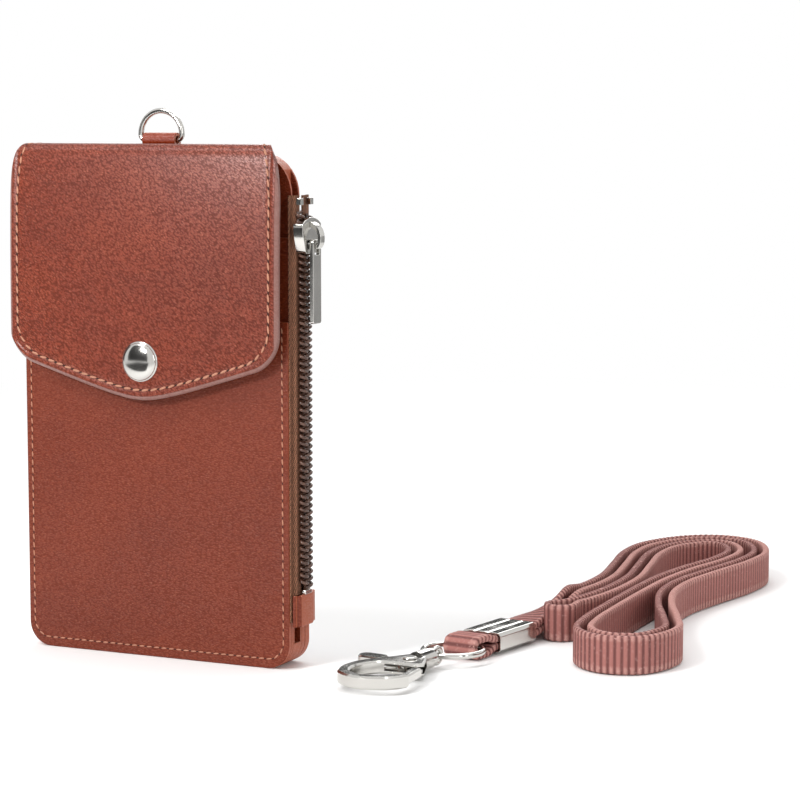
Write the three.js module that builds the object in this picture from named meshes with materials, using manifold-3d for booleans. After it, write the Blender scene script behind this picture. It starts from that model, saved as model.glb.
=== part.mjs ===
// Upright leather card holder with a snap flap, a side zip pocket and a rear window, and its webbing
// lanyard lying beside it. Millimetres. X to the zip side, Y to the back, Z up, origin under the middle.
import * as THREE from 'three';
import { mergeVertices } from 'three/addons/utils/BufferGeometryUtils.js';
import Module from 'manifold-3d';

const wasm = await Module();
wasm.setup();

// Holder: outline
const leftX = -37; // sewn side
const rightX = 36.7; // zip side
const bodyHeight = 124;
const bottomRadius = 6;
const topRadiusZipSide = 10;
const topRadiusSewnSide = 7;
const seamWidth = 6; // sewn margin round every pocket

// Holder: thickness of each layer, front to back
const outerLeather = 0.9;
const innerLeather = 0.7;
const emptySlot = 0.25; // an unused card slot
const zipPocketDepth = 3.0;
const cardThickness = 0.76;
const cardSlip = 0.2; // room on each face of a card
const windowThickness = 0.3;

// Holder: heights of the pocket edges
const frontPocketDrop = 40;
const frontBandDrop = 20;
const frontPocketTop = bodyHeight - frontPocketDrop;
const frontBandTop = bodyHeight - frontBandDrop;
const backBandTop = 109;
const windowFrameTop = 97;

// Cards and window
const slotCardWidth = 54;
const slotCardHeight = 85.6;
const slotCardShows = 5; // how far it stands above its slot
const cardCornerRadius = 3;
const insertWidth = 60;
const insertHeight = 84;
const insertRecess = 4; // below the mouth of its pocket
const windowWidth = 55;
const windowHeight = 77;
const windowBottom = 11;
const windowRadius = 3;
const windowLap = 3; // clear sheet behind the leather frame

// Zip
const tapeThickness = 0.4;
const tapeGap = 0.8; // half the gap between the two tapes
const zipStandOff = 1.3; // chain plane outside the leather
const zipBottom = 19;
const zipTop = bodyHeight - 13;
const coilPitch = 1.6;
const coilWire = 0.26; // radius
const coilReach = 2.5; // outer edge of one row from the middle
const coilLap = 0.35; // how far a row passes the middle
const coilHeight = 1.3;
const coilSpread = 1.3; // how far the rows part above the slider
const sliderLength = 8.6;
const sliderMiddle = zipTop - 6.4;
const sliderPlate = 0.65;
const sliderGap = 0.3;
const pullerLength = 20;
const pullerWidth = 4.2;
const pullerThickness = 1.0;
const crownRise = 2.9;
const crownWidth = 2.2;
const tabBottom = 10.5;
const tabThickness = 0.9;
const stopHeight = 1.6;

// Flap
const flapLeft = -39;
const flapRight = 36;
const flapHingeWidth = 60;
const flapSideDrop = 49;
const flapApexDrop = 61;
const flapSideBottom = bodyHeight - flapSideDrop;
const flapApex = bodyHeight - flapApexDrop;
const flapTip = { half: 9, rise: 1.9, dip: 1.2 };
const flapSideRound = { across: 7, above: 5, below: 2.4 };
const flapShoulder = { across: 2.5, drop: 1.5 };
const flapCorner = 9;
const flapLeather = 1.0;
const flapLiningThickness = 0.5;
const flapStandOff = 2.7; // lining clear of the front panel
const creaseGap = 0.3;
const bridgeLift = 0.5; // bridge above the body's top edge
const flapRootDepth = 7;
const tabZoneHeight = 9; // open top of the pocket where the root and the ring loop are sewn in

// Snap, on the middle of the flap
const snapX = -1.5;
const snapAboveApex = 10.5;
const snapZ = flapApex + snapAboveApex;
const snapCapRadius = 5;
const snapCapRise = 1.6;
const snapPostRadius = 1.5;
const socketRadius = 4.4;
const socketBore = 2.3;
const socketHeight = 1.5;
const studFlangeRadius = 4;
const studFlange = 0.5;
const studRadius = 1.9;
const studHeight = 1.4;
const washerRadius = 3.4;
const washerThickness = 0.2;
const throughCut = 20; // longer than any wall that the post goes through

// Ring and its leather loop
const ringLoopWidth = 9;
const ringLoopLeather = 0.75;
const ringWire = 0.7;
const ringHalfWidth = 5.7;
const ringHeight = 7;
const ringCorner = 1.3;
const ringBarAbove = 2.9;
const ringBarHeight = bodyHeight + ringBarAbove;
const ringSlip = 0.3;
const ringButt = 0.15; // half the butt joint in the bar

// Lanyard
const hookTip = new THREE.Vector2(62, -22);
const hookTurn = THREE.MathUtils.degToRad(81); // heading of the hook's axis on the ground
const hookLength = 31.5;
const hookThickness = 3.2;
const hookBevel = 0.45;
const pivotAlong = 22.6;
const pivotAcross = -0.5;
const gateReach = 16.5; // pivot to the gate's tip
const gateThickness = 0.8;
const gateArmThickness = 2.4;
const gateSlot = 1.7;
const rivetRadius = 1.05;
const rivetHeadRadius = 1.9;
const rivetHead = 0.45;
const springRadius = 2.3;
const springWire = 0.2;
const barrelRadius = 2.5;
const barrelLength = 5.2;
const stemRadius = 1.05;
const stemHeadRadius = 1.5;
const stemHeadLength = 1.8;
const collarRadius = 2.2;
const collarLength = 1.2;
const swivelEyeRadius = 1.8;
const swivelEyeWire = 0.7;
const keyRingRadius = 7.4;
const keyRingWire = 0.75;
const keyRingButt = 1.5; // half the opening angle of the ring's joint, in degrees
const strapWidth = 9.5;
const strapThickness = 1.8;
const strandPitch = 3.4; // middle to middle of two strands side by side
const loopClear = 1.05; // half the room for the ring inside the sewn end loop
const loopBack = 2.2; // end loop's straight part past the ring's wire
const loopToCrimp = 5.6;
const crimpLength = 17;
const crimpWall = 0.5;
const crimpGroove = 0.22;
const crimpCorner = 0.3;
const legsInCrimp = 10;
const strapClear = 0.05; // strap above the ground
const twistLength = 42; // from lying flat in the crimp to standing on edge
const closingRadius = 3.4; // where the strap turns back on itself
const runningGap = 0.3;

// Middle of the pair of strands on the ground, from the crimp to where the strap turns back
const strapRoute = [
  [77.6, 71], [79.8, 85], [79.4, 100], [76, 118], [72.5, 136], [72.8, 152], [79.5, 166], [89.5, 171],
  [99.5, 166], [105.8, 152], [106, 136], [103, 118], [100.6, 100], [101.6, 84], [106.5, 68], [113, 53],
  [117.5, 40], [114.5, 28], [106, 25], [98.5, 31], [95.8, 44], [94.8, 60], [94, 80], [93.8, 100],
  [95.5, 118], [98.8, 136], [98.8, 150], [94.5, 159.5], [89.3, 162.6], [84.2, 159.5], [79.8, 150],
  [79.6, 136], [83, 118], [86.4, 100], [87, 82], [85.5, 68], [83.6, 60],
];

// Faces of the layers, worked out front to back
const layer = {};
let face = 0;
for (const [name, thickness] of [
  ['frontPocket', outerLeather],
  ['frontSlot1', emptySlot],
  ['frontBand', innerLeather],
  ['frontSlot2', emptySlot],
  ['front', innerLeather],
  ['zipPocket', zipPocketDepth],
  ['back', innerLeather],
  ['cardSlot', cardThickness + 2 * cardSlip],
  ['backBand', innerLeather],
  ['insertSlot', cardThickness + 2 * cardSlip],
  ['window', windowThickness],
  ['frame', outerLeather],
]) {
  layer[name] = [face, face + thickness];
  face += thickness;
}
const bodyDepth = face;
for (const faces of Object.values(layer)) {
  faces[0] -= bodyDepth / 2;
  faces[1] -= bodyDepth / 2;
}
const zipY = (layer.zipPocket[0] + layer.zipPocket[1]) / 2;
const chainX = rightX + zipStandOff;
const coilBase = chainX + tapeThickness / 2 + 0.1 + coilWire;
const coilTop = coilBase + coilHeight + coilWire;

const finish = {
  leather: { color: 0x9a4a30, roughness: 0.5, metalness: 0 },
  lining: { color: 0x33201c, roughness: 0.8, metalness: 0 },
  tape: { color: 0x6b432e, roughness: 0.9, metalness: 0 },
  coil: { color: 0x35211a, roughness: 0.5, metalness: 0 },
  nickel: { color: 0xc9c7c2, roughness: 0.2, metalness: 1 },
  webbing: { color: 0x96645f, roughness: 0.9, metalness: 0 },
  film: { color: 0xe8eef0, roughness: 0.1, metalness: 0, transparent: true, opacity: 0.35 },
  card: { color: 0xf4f4f2, roughness: 0.4, metalness: 0 },
};

const holder = new THREE.Group();

function addPiece(name, geometry, look) {
  const mesh = new THREE.Mesh(geometry, new THREE.MeshStandardMaterial(finish[look]));
  mesh.name = name;
  holder.add(mesh);
  return mesh;
}

// Solids for cutting and joining
function solidOf(geometry) {
  const bare = geometry.clone();
  bare.deleteAttribute('normal');
  bare.deleteAttribute('uv');
  const merged = mergeVertices(bare, 1e-4);
  return new wasm.Manifold(new wasm.Mesh({
    numProp: 3,
    vertProperties: new Float32Array(merged.attributes.position.array),
    triVerts: new Uint32Array(merged.index.array),
  }));
}

function geometryOf(solid) {
  const mesh = solid.getMesh();
  const geometry = new THREE.BufferGeometry();
  geometry.setAttribute('position', new THREE.BufferAttribute(mesh.vertProperties, 3));
  geometry.setIndex(new THREE.BufferAttribute(mesh.triVerts, 1));
  return geometry;
}

const join = (...parts) => geometryOf(parts.map(solidOf).reduce((a, b) => a.add(b)));
const cut = (whole, ...tools) => geometryOf(
  tools.map(solidOf).reduce((a, b) => a.subtract(b), solidOf(whole)));
const common = (a, b) => geometryOf(solidOf(a).intersect(solidOf(b)));

// Outlines in the XZ plane become slabs between two faces on Y
function slab(shape, y0, y1, curveSegments = 5) {
  const geometry = new THREE.ExtrudeGeometry(shape, { depth: y1 - y0, bevelEnabled: false, curveSegments });
  return geometry.rotateX(Math.PI / 2).translate(0, y1, 0);
}

// Outlines in the YZ plane become bars between two places on X
function barAlongX(shape, x0, x1, curveSegments = 5) {
  const geometry = new THREE.ExtrudeGeometry(shape, { depth: x1 - x0, bevelEnabled: false, curveSegments });
  const turn = new THREE.Matrix4().makeBasis(
    new THREE.Vector3(0, 1, 0), new THREE.Vector3(0, 0, 1), new THREE.Vector3(1, 0, 0));
  return geometry.applyMatrix4(turn).translate(x0, 0, 0);
}

// Outlines in the XY plane become bars between two heights
function barAlongZ(shape, z0, z1, curveSegments = 5) {
  return new THREE.ExtrudeGeometry(shape, { depth: z1 - z0, bevelEnabled: false, curveSegments })
    .translate(0, 0, z0);
}

// Rectangle with its own radius at each corner: bottom left, bottom right, top right, top left
function panelShape(x0, x1, z0, z1, radii) {
  const [bl, br, tr, tl] = radii;
  const shape = new THREE.Shape();
  shape.moveTo(x0 + bl, z0);
  shape.lineTo(x1 - br, z0);
  if (br > 0) shape.absarc(x1 - br, z0 + br, br, -Math.PI / 2, 0);
  shape.lineTo(x1, z1 - tr);
  if (tr > 0) shape.absarc(x1 - tr, z1 - tr, tr, 0, Math.PI / 2);
  shape.lineTo(x0 + tl, z1);
  if (tl > 0) shape.absarc(x0 + tl, z1 - tl, tl, Math.PI / 2, Math.PI);
  shape.lineTo(x0, z0 + bl);
  if (bl > 0) shape.absarc(x0 + bl, z0 + bl, bl, Math.PI, 1.5 * Math.PI);
  return shape;
}

function disc(radius, depth, segments = 24) {
  return new THREE.CylinderGeometry(radius, radius, depth, segments);
}

function turned(profile, segments = 24) {
  return new THREE.LatheGeometry(profile.map(([r, h]) => new THREE.Vector2(r, h)), segments);
}

// Closed tube through a list of rings of points, each ring running the same way round
function skinOf(rings) {
  const sides = rings[0].length;
  const points = rings.flat();
  const faces = [];
  for (let i = 0; i + 1 < rings.length; i += 1) {
    for (let j = 0; j < sides; j += 1) {
      const a = i * sides + j;
      const b = i * sides + (j + 1) % sides;
      faces.push(a, b, b + sides, a, b + sides, a + sides);
    }
  }
  const last = (rings.length - 1) * sides;
  for (let j = 1; j + 1 < sides; j += 1) {
    faces.push(0, j + 1, j);
    faces.push(last, last + j, last + j + 1);
  }
  const geometry = new THREE.BufferGeometry().setFromPoints(points);
  geometry.setIndex(faces);
  return geometry;
}

// Leather layers: a sheet with a sewn margin that fills the pocket's depth at its edges
const fullTop = [bottomRadius, bottomRadius, topRadiusZipSide, topRadiusSewnSide];
const squareTop = [bottomRadius, bottomRadius, 0, 0];

function pocketLayer(top, radii, sheet, margin, floor) {
  const outline = panelShape(leftX, rightX, 0, top, radii);
  const rim = slab(outline, ...margin);
  const room = slab(
    panelShape(leftX + seamWidth, rightX - seamWidth, floor, bodyHeight + seamWidth, [1, 1, 0, 0]),
    margin[0] - 1, margin[1] + 1);
  return join(slab(outline, ...sheet), cut(rim, room));
}

// The two base panels close the zip pocket at the sewn side and the bottom; the zip side stays open
function basePanel(sheet, margin) {
  const outline = panelShape(leftX, rightX, 0, bodyHeight, fullTop);
  const room = slab(
    panelShape(leftX + seamWidth, rightX + seamWidth, seamWidth, bodyHeight + seamWidth, [2, 0, 0, 0]),
    margin[0] - 1, margin[1] + 1);
  const seamBottom = bodyHeight - tabZoneHeight;
  const besideRoot = flapHingeWidth / 2 + runningGap;
  const ends = [[leftX + seamWidth - 1, -besideRoot], [besideRoot, rightX - 2]].map(([x0, x1]) => common(
    slab(panelShape(x0, x1, seamBottom, bodyHeight, [0, 0, 0, 0]), ...margin), slab(outline, ...margin)));
  return join(slab(outline, ...sheet), cut(slab(outline, ...margin), room), ...ends);
}

addPiece('front_panel', basePanel(layer.front, [layer.front[1], zipY]), 'leather');
addPiece('back_panel', basePanel(layer.back, [zipY, layer.back[0]]), 'leather');
addPiece('front_slot_band',
  pocketLayer(frontBandTop, squareTop, layer.frontBand, layer.frontSlot2, seamWidth), 'leather');

const studHole = disc(snapPostRadius + runningGap, throughCut, 20).translate(snapX, layer.frontPocket[0], snapZ);
addPiece('front_pocket_panel', cut(
  pocketLayer(frontPocketTop, squareTop, layer.frontPocket, layer.frontSlot1, seamWidth), studHole), 'leather');

const cardBottom = backBandTop + slotCardShows - slotCardHeight;
addPiece('back_slot_band',
  pocketLayer(backBandTop, squareTop, layer.backBand, layer.cardSlot, cardBottom - cardSlip), 'leather');

const windowHole = slab(
  panelShape(-windowWidth / 2, windowWidth / 2, windowBottom, windowBottom + windowHeight,
    [windowRadius, windowRadius, windowRadius, windowRadius]),
  layer.frame[0] - 1, layer.frame[1] + 1);
const insertBottom = windowFrameTop - insertRecess - insertHeight;
addPiece('window_frame', cut(
  pocketLayer(windowFrameTop, squareTop, layer.frame, [layer.insertSlot[0], layer.window[1]],
    insertBottom - cardSlip), windowHole), 'leather');

const lap = windowLap;
addPiece('window_sheet', slab(
  panelShape(-windowWidth / 2 - lap, windowWidth / 2 + lap, insertBottom,
    windowBottom + windowHeight + lap, [1, 1, 1, 1]), ...layer.window, 2), 'film');

const four = (radius) => [radius, radius, radius, radius];
addPiece('identity_insert', slab(
  panelShape(-insertWidth / 2, insertWidth / 2, insertBottom, insertBottom + insertHeight, four(cardCornerRadius)),
  layer.insertSlot[0] + cardSlip, layer.insertSlot[1] - cardSlip), 'card');
addPiece('slot_card', slab(
  panelShape(-slotCardWidth / 2, slotCardWidth / 2, cardBottom, cardBottom + slotCardHeight, four(cardCornerRadius)),
  layer.cardSlot[0] + cardSlip, layer.cardSlot[1] - cardSlip), 'card');

// Zip: tapes from the leather edges to the chain plane, two coils, stops, slider, crown and puller
function tapeShape(side) {
  const edgeY = side < 0 ? layer.frontPocket[0] + 0.3 : layer.frame[1] - 0.3;
  const half = tapeThickness / 2;
  const x0 = rightX + 0.05 + half;
  const bend = zipY + side * (coilReach + 0.3);
  const line = [[x0, edgeY], [x0, edgeY - side * 0.9], [chainX, bend], [chainX, zipY + side * tapeGap]];
  const shape = new THREE.Shape();
  line.forEach(([x, y], i) => (i ? shape.lineTo(x + half, y) : shape.moveTo(x + half, y)));
  line.reverse().forEach(([x, y]) => shape.lineTo(x - half, y));
  return shape;
}
const tapeTop = bodyHeight - topRadiusZipSide;
addPiece('zip_tape_front', barAlongZ(tapeShape(-1), tabBottom + 1, tapeTop), 'tape');
addPiece('zip_tape_back', barAlongZ(tapeShape(1), tabBottom + 1, tapeTop), 'tape');

// One row: flattened turns climbing the tape, half a pitch apart from the other row's
const partStart = sliderMiddle - sliderLength * 0.35;
const partEnd = sliderMiddle + sliderLength * 0.2;
const partedBy = (z) => coilSpread * THREE.MathUtils.smoothstep(z, partStart, partEnd);
const turnSteps = 6;
function coilLine(side) {
  const turns = Math.floor((zipTop - zipBottom - coilPitch) / coilPitch);
  const half = (coilReach + coilLap) / 2 - coilWire;
  const points = [];
  for (let i = 0; i <= turns * turnSteps; i += 1) {
    const angle = (i / turnSteps) * 2 * Math.PI;
    const z = zipBottom + coilPitch * (0.5 + (side < 0 ? 0 : 0.5)) + (i / turnSteps) * coilPitch;
    const across = half * Math.cos(angle) - (half + coilWire - coilLap) - partedBy(z);
    points.push(new THREE.Vector3(
      coilBase + (coilHeight / 2) * (1 + Math.sin(angle)), zipY - side * across, z));
  }
  return points;
}
function tubeRings(points, radius, sides) {
  return points.map((p, i) => {
    const along = points[Math.min(i + 1, points.length - 1)].clone()
      .sub(points[Math.max(i - 1, 0)]).normalize();
    const u = new THREE.Vector3(0, 0, 1).cross(along).normalize();
    const v = along.clone().cross(u);
    return Array.from({ length: sides }, (_, j) => {
      const a = (j / sides) * 2 * Math.PI;
      return p.clone().addScaledVector(u, radius * Math.cos(a)).addScaledVector(v, radius * Math.sin(a));
    });
  });
}
const coilSides = 4;
const coilFront = coilLine(-1);
const coilBack = coilLine(1);
addPiece('zip_coil_front', skinOf(tubeRings(coilFront, coilWire, coilSides)), 'coil');
addPiece('zip_coil_back', skinOf(tubeRings(coilBack, coilWire, coilSides)), 'coil');

function leastGap(a, b, skip) {
  let least = Infinity;
  a.forEach((p, i) => b.forEach((q, j) => {
    if (a !== b || Math.abs(i - j) > skip) least = Math.min(least, p.distanceTo(q));
  }));
  return least - 2 * coilWire;
}
console.log('zip coil, least gap to itself', leastGap(coilFront, coilFront, turnSteps / 2).toFixed(2),
  'and to the other row', leastGap(coilFront, coilBack, 0).toFixed(2));

for (const [name, side] of [['front', -1], ['back', 1]]) {
  const stop = new THREE.BoxGeometry(coilHeight, 1.4, stopHeight);
  const y = zipY + side * (coilReach / 2 + coilSpread);
  addPiece(`zip_top_stop_${name}`, stop.translate(coilBase + coilHeight / 2, y, zipTop + stopHeight / 2 + 0.8), 'nickel');
}
addPiece('zip_bottom_stop', new THREE.BoxGeometry(coilHeight, 3.2, 1)
  .translate(coilBase + coilHeight / 2, zipY, zipBottom - 0.2), 'nickel');

// Leather tab wrapped over the lower end of the zip
function tabShape() {
  const inside = chainX + tapeThickness / 2 + runningGap;
  const low = rightX + tapeThickness + 0.4;
  const y0 = layer.frontPocket[0] + 0.2;
  const y1 = layer.frame[1] - 0.2;
  const line = [[low, y0], [low, y0 + 0.7], [inside, zipY - coilReach - 0.5], [inside, zipY + coilReach + 0.5],
    [low, y1 - 0.7], [low, y1]];
  const shape = new THREE.Shape();
  line.forEach(([x, y], i) => (i ? shape.lineTo(x, y) : shape.moveTo(x, y)));
  line.reverse().forEach(([x, y]) => shape.lineTo(x + tabThickness, y));
  return shape;
}
addPiece('zip_end_tab', barAlongZ(tabShape(), tabBottom, zipBottom - 0.8), 'leather');

// Slider: shield-shaped plates outside and inside the chain, joined by the wedge between the rows
const sliderLow = sliderMiddle - sliderLength / 2;
const sliderHigh = sliderMiddle + sliderLength / 2;
const sliderNarrow = coilReach + runningGap + sliderPlate;
const sliderWide = coilReach + coilSpread + runningGap + sliderPlate;
function shield(narrow, wide) {
  const shape = new THREE.Shape();
  shape.moveTo(zipY - narrow + 0.8, sliderLow);
  shape.lineTo(zipY + narrow - 0.8, sliderLow);
  shape.lineTo(zipY + narrow, sliderLow + 0.8);
  shape.lineTo(zipY + wide, sliderMiddle + 0.6);
  shape.lineTo(zipY + wide, sliderHigh - 1.6);
  shape.quadraticCurveTo(zipY + wide * 0.6, sliderHigh - 0.2, zipY, sliderHigh);
  shape.quadraticCurveTo(zipY - wide * 0.6, sliderHigh - 0.2, zipY - wide, sliderHigh - 1.6);
  shape.lineTo(zipY - wide, sliderMiddle + 0.6);
  shape.lineTo(zipY - narrow, sliderLow + 0.8);
  return shape;
}
const outerPlate = coilTop + sliderGap;
const flangeEnd = chainX + tapeThickness / 2 + sliderGap;
const innerPlate = rightX + 0.35;
const innerHalf = coilReach - 0.4;
const wedge = new THREE.Shape();
wedge.moveTo(zipY, sliderMiddle + 0.6);
wedge.lineTo(zipY + tapeGap - 0.35, sliderMiddle + 2.2);
wedge.lineTo(zipY + tapeGap - 0.35, sliderHigh - 0.6);
wedge.lineTo(zipY - tapeGap + 0.35, sliderHigh - 0.6);
wedge.lineTo(zipY - tapeGap + 0.35, sliderMiddle + 2.2);
const sliderShell = cut(
  barAlongX(shield(sliderNarrow, sliderWide), flangeEnd, outerPlate + sliderPlate),
  barAlongX(shield(sliderNarrow - sliderPlate, sliderWide - sliderPlate), flangeEnd - 1, outerPlate),
  new THREE.BoxGeometry(outerPlate - flangeEnd + 1, 2 * (sliderNarrow - sliderPlate), sliderLength + 2)
    .translate((outerPlate + flangeEnd - 1) / 2, zipY, sliderMiddle - sliderLength / 2),
  new THREE.BoxGeometry(outerPlate - flangeEnd + 1, 2 * (sliderWide - sliderPlate), sliderLength)
    .translate((outerPlate + flangeEnd - 1) / 2, zipY, sliderHigh - 0.4));
addPiece('zip_slider', join(
  sliderShell,
  barAlongX(panelShape(zipY - innerHalf, zipY + innerHalf, sliderLow, sliderHigh - 0.4, four(1)),
    innerPlate, innerPlate + 0.6, 3),
  barAlongX(wedge, innerPlate, outerPlate + sliderPlate)), 'nickel');

// Crown: a rounded bridge over the slider that holds the puller's eye
const crownBase = outerPlate + sliderPlate;
const crownShape = new THREE.Shape();
const crownFoot = crownBase + 0.02;
crownShape.moveTo(crownFoot, sliderLow + 0.9);
crownShape.lineTo(crownBase + crownRise * 0.55, sliderLow + 1.0);
crownShape.quadraticCurveTo(crownBase + crownRise, sliderLow + 1.4, crownBase + crownRise, sliderMiddle - 0.6);
crownShape.quadraticCurveTo(crownBase + crownRise, sliderHigh - 2, crownFoot, sliderHigh - 1.0);
crownShape.lineTo(crownFoot, sliderHigh - 2.4);
crownShape.quadraticCurveTo(crownBase + crownRise - 0.9, sliderHigh - 3, crownBase + crownRise - 0.9, sliderMiddle - 0.6);
crownShape.lineTo(crownBase + crownRise - 0.9, sliderLow + 2.2);
crownShape.lineTo(crownFoot, sliderLow + 2.2);
const crownTurn = new THREE.Matrix4().makeBasis(
  new THREE.Vector3(1, 0, 0), new THREE.Vector3(0, 0, 1), new THREE.Vector3(0, -1, 0));
addPiece('zip_slider_crown',
  new THREE.ExtrudeGeometry(crownShape, { depth: crownWidth, bevelEnabled: false, curveSegments: 5 })
    .applyMatrix4(crownTurn).translate(0, zipY + crownWidth / 2, 0), 'nickel');

// Puller: hangs from the crown by a square eye
const eyeLength = 3.6;
const eyeBar = 0.8;
const pullerTop = sliderLow + 2.2 + eyeBar + runningGap;
const pullerX = crownBase + runningGap + 0.1;
const pullerPlate = barAlongX(
  panelShape(zipY - pullerWidth / 2, zipY + pullerWidth / 2, pullerTop - pullerLength, pullerTop, four(0.7)),
  pullerX, pullerX + pullerThickness, 3);
const pullerEye = barAlongX(
  panelShape(zipY - pullerWidth / 2 + eyeBar, zipY + pullerWidth / 2 - eyeBar,
    pullerTop - eyeLength, pullerTop - eyeBar, four(0.2)),
  pullerX - 1, pullerX + pullerThickness + 1, 2);
addPiece('zip_puller', cut(pullerPlate, pullerEye), 'nickel');

// Flap: root sewn inside the top seam, bridge over the top, hanging front with its lining
const rootY = layer.front[1] + 0.05;
const flapOuterY = layer.frontPocket[0] - flapStandOff - flapLiningThickness - flapLeather;
const bridgeZ = bodyHeight + bridgeLift;
const bridgeThickness = flapLeather + flapLiningThickness;
const rootHalf = flapHingeWidth / 2;
addPiece('flap_root', slab(
  panelShape(-rootHalf, rootHalf, bodyHeight - flapRootDepth, bodyHeight + bridgeLift - creaseGap, four(0)),
  rootY, rootY + flapLeather), 'leather');
const bridgeFront = flapOuterY + flapLeather + flapLiningThickness + creaseGap;
const bridgeRear = rootY - 0.2; // the ring loop bulges just behind it
const bridgeShape = new THREE.Shape();
bridgeShape.moveTo(-rootHalf, bridgeRear);
bridgeShape.lineTo(-rootHalf - 2.5, bridgeFront);
bridgeShape.lineTo(rootHalf + 2.5, bridgeFront);
bridgeShape.lineTo(rootHalf, bridgeRear);
addPiece('flap_bridge', barAlongZ(bridgeShape, bridgeZ, bridgeZ + bridgeThickness), 'leather');

function flapOutline(inset) {
  const apexX = (flapLeft + flapRight) / 2;
  const top = bridgeZ + bridgeThickness - inset * 0.5;
  const shape = new THREE.Shape();
  const left = flapLeft + inset;
  const right = flapRight - inset;
  const side = flapSideBottom + inset;
  const tip = flapApex + inset;
  shape.moveTo(-rootHalf - flapShoulder.across, top);
  shape.quadraticCurveTo(left, top - flapShoulder.drop, left, top - flapCorner * 1.6);
  shape.lineTo(left, side + flapSideRound.above);
  shape.quadraticCurveTo(left, side, left + flapSideRound.across, side - flapSideRound.below);
  shape.lineTo(apexX - flapTip.half, tip + flapTip.rise);
  shape.quadraticCurveTo(apexX, tip - flapTip.dip, apexX + flapTip.half, tip + flapTip.rise);
  shape.lineTo(right - flapSideRound.across, side - flapSideRound.below);
  shape.quadraticCurveTo(right, side, right, side + flapSideRound.above);
  shape.lineTo(right, top - flapCorner * 1.6);
  shape.quadraticCurveTo(right, top - flapShoulder.drop, rootHalf + flapShoulder.across, top);
  return shape;
}
const snapHole = disc(snapPostRadius + runningGap, throughCut, 20).translate(snapX, flapOuterY, snapZ);
addPiece('flap_outer', cut(
  slab(flapOutline(0), flapOuterY, flapOuterY + flapLeather, 6), snapHole), 'leather');
addPiece('flap_lining', cut(
  slab(flapOutline(0.6), flapOuterY + flapLeather, flapOuterY + flapLeather + flapLiningThickness, 6),
  snapHole), 'lining');

// Snap fastener: domed cap and socket on the flap, stud and washer on the front pocket
const aimForward = (geometry, y) => geometry.rotateX(Math.PI).translate(snapX, y, snapZ);
const capProfile = [[0, snapCapRise], [snapCapRadius * 0.45, snapCapRise * 0.93],
  [snapCapRadius * 0.8, snapCapRise * 0.66], [snapCapRadius * 0.97, snapCapRise * 0.3], [snapCapRadius, 0.12],
  [snapCapRadius - 0.15, 0], [snapPostRadius, 0], [snapPostRadius, -flapLeather - flapLiningThickness],
  [0, -flapLeather - flapLiningThickness]].reverse();
addPiece('snap_cap', aimForward(turned(capProfile, 28), flapOuterY), 'nickel');
const socketFace = flapOuterY + flapLeather + flapLiningThickness;
const socketProfile = [[0, 0.3], [socketBore, 0.3], [socketBore, socketHeight], [socketRadius - 0.9, socketHeight],
  [socketRadius, socketHeight - 0.6], [socketRadius, 0], [0, 0]];
addPiece('snap_socket', aimForward(
  turned(socketProfile.map(([r, h]) => [r, -h]), 24), socketFace), 'nickel');
const studProfile = [[0, studFlange + studHeight], [studRadius * 0.7, studFlange + studHeight],
  [studRadius, studFlange + studHeight - 0.4], [studRadius * 0.85, studFlange + 0.2],
  [studFlangeRadius, studFlange], [studFlangeRadius, 0], [snapPostRadius, 0],
  [snapPostRadius, -outerLeather], [0, -outerLeather]].reverse();
addPiece('snap_stud', aimForward(turned(studProfile, 24), layer.frontPocket[0]), 'nickel');
addPiece('snap_washer', aimForward(disc(washerRadius, washerThickness, 24),
  layer.frontPocket[1] + washerThickness / 2 + 0.01), 'nickel');

// Leather loop and ring at the top
const loopY = rootY + flapLeather + 0.1 + ringLoopLeather;
const eyeRadius = ringWire + ringSlip;
const loopOuter = eyeRadius + ringLoopLeather;
const loopShape = new THREE.Shape();
loopShape.moveTo(loopY + ringLoopLeather, bodyHeight - tabZoneHeight + 1);
loopShape.lineTo(loopY + ringLoopLeather, ringBarHeight - loopOuter);
loopShape.absarc(loopY, ringBarHeight, loopOuter, -Math.PI / 3.2, Math.PI + Math.PI / 3.2);
loopShape.lineTo(loopY - ringLoopLeather, ringBarHeight - loopOuter);
loopShape.lineTo(loopY - ringLoopLeather, bodyHeight - tabZoneHeight + 1);
const eye = new THREE.Path();
eye.absarc(loopY, ringBarHeight, eyeRadius, 0, 2 * Math.PI, true);
loopShape.holes.push(eye);
addPiece('ring_loop', barAlongX(loopShape, -ringLoopWidth / 2, ringLoopWidth / 2, 10), 'leather');

function wireAlong(line, radius, sides, steps) {
  const section = new THREE.Shape();
  section.absarc(0, 0, radius, 0, 2 * Math.PI);
  return new THREE.ExtrudeGeometry(section, {
    steps, bevelEnabled: false, curveSegments: sides, extrudePath: line });
}
function planeCurve(path, count, place) {
  return new THREE.CatmullRomCurve3(path.getSpacedPoints(count).map(place));
}
const ringPath = new THREE.Path();
ringPath.moveTo(ringButt, 0);
ringPath.lineTo(ringHalfWidth - ringCorner, 0);
ringPath.absarc(ringHalfWidth - ringCorner, ringCorner, ringCorner, -Math.PI / 2, 0);
ringPath.absellipse(0, ringCorner, ringHalfWidth, ringHeight - ringCorner, 0, Math.PI);
ringPath.absarc(-ringHalfWidth + ringCorner, ringCorner, ringCorner, Math.PI, 1.5 * Math.PI);
ringPath.lineTo(-ringButt, 0);
addPiece('d_ring', wireAlong(
  planeCurve(ringPath, 44, (p) => new THREE.Vector3(p.x, loopY, ringBarHeight + p.y)), ringWire, 8, 44), 'nickel');

// Lanyard: hook, swivel, ring, end loop and crimp lie in line on the ground, hook's tip first
const axisHeight = loopClear + strapThickness + 0.1;
const lanyard = new THREE.Group();
lanyard.position.set(hookTip.x, hookTip.y, axisHeight);
lanyard.rotation.z = hookTurn;

function addToLanyard(name, geometry, look) {
  lanyard.add(addPiece(name, geometry, look));
}

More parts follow.
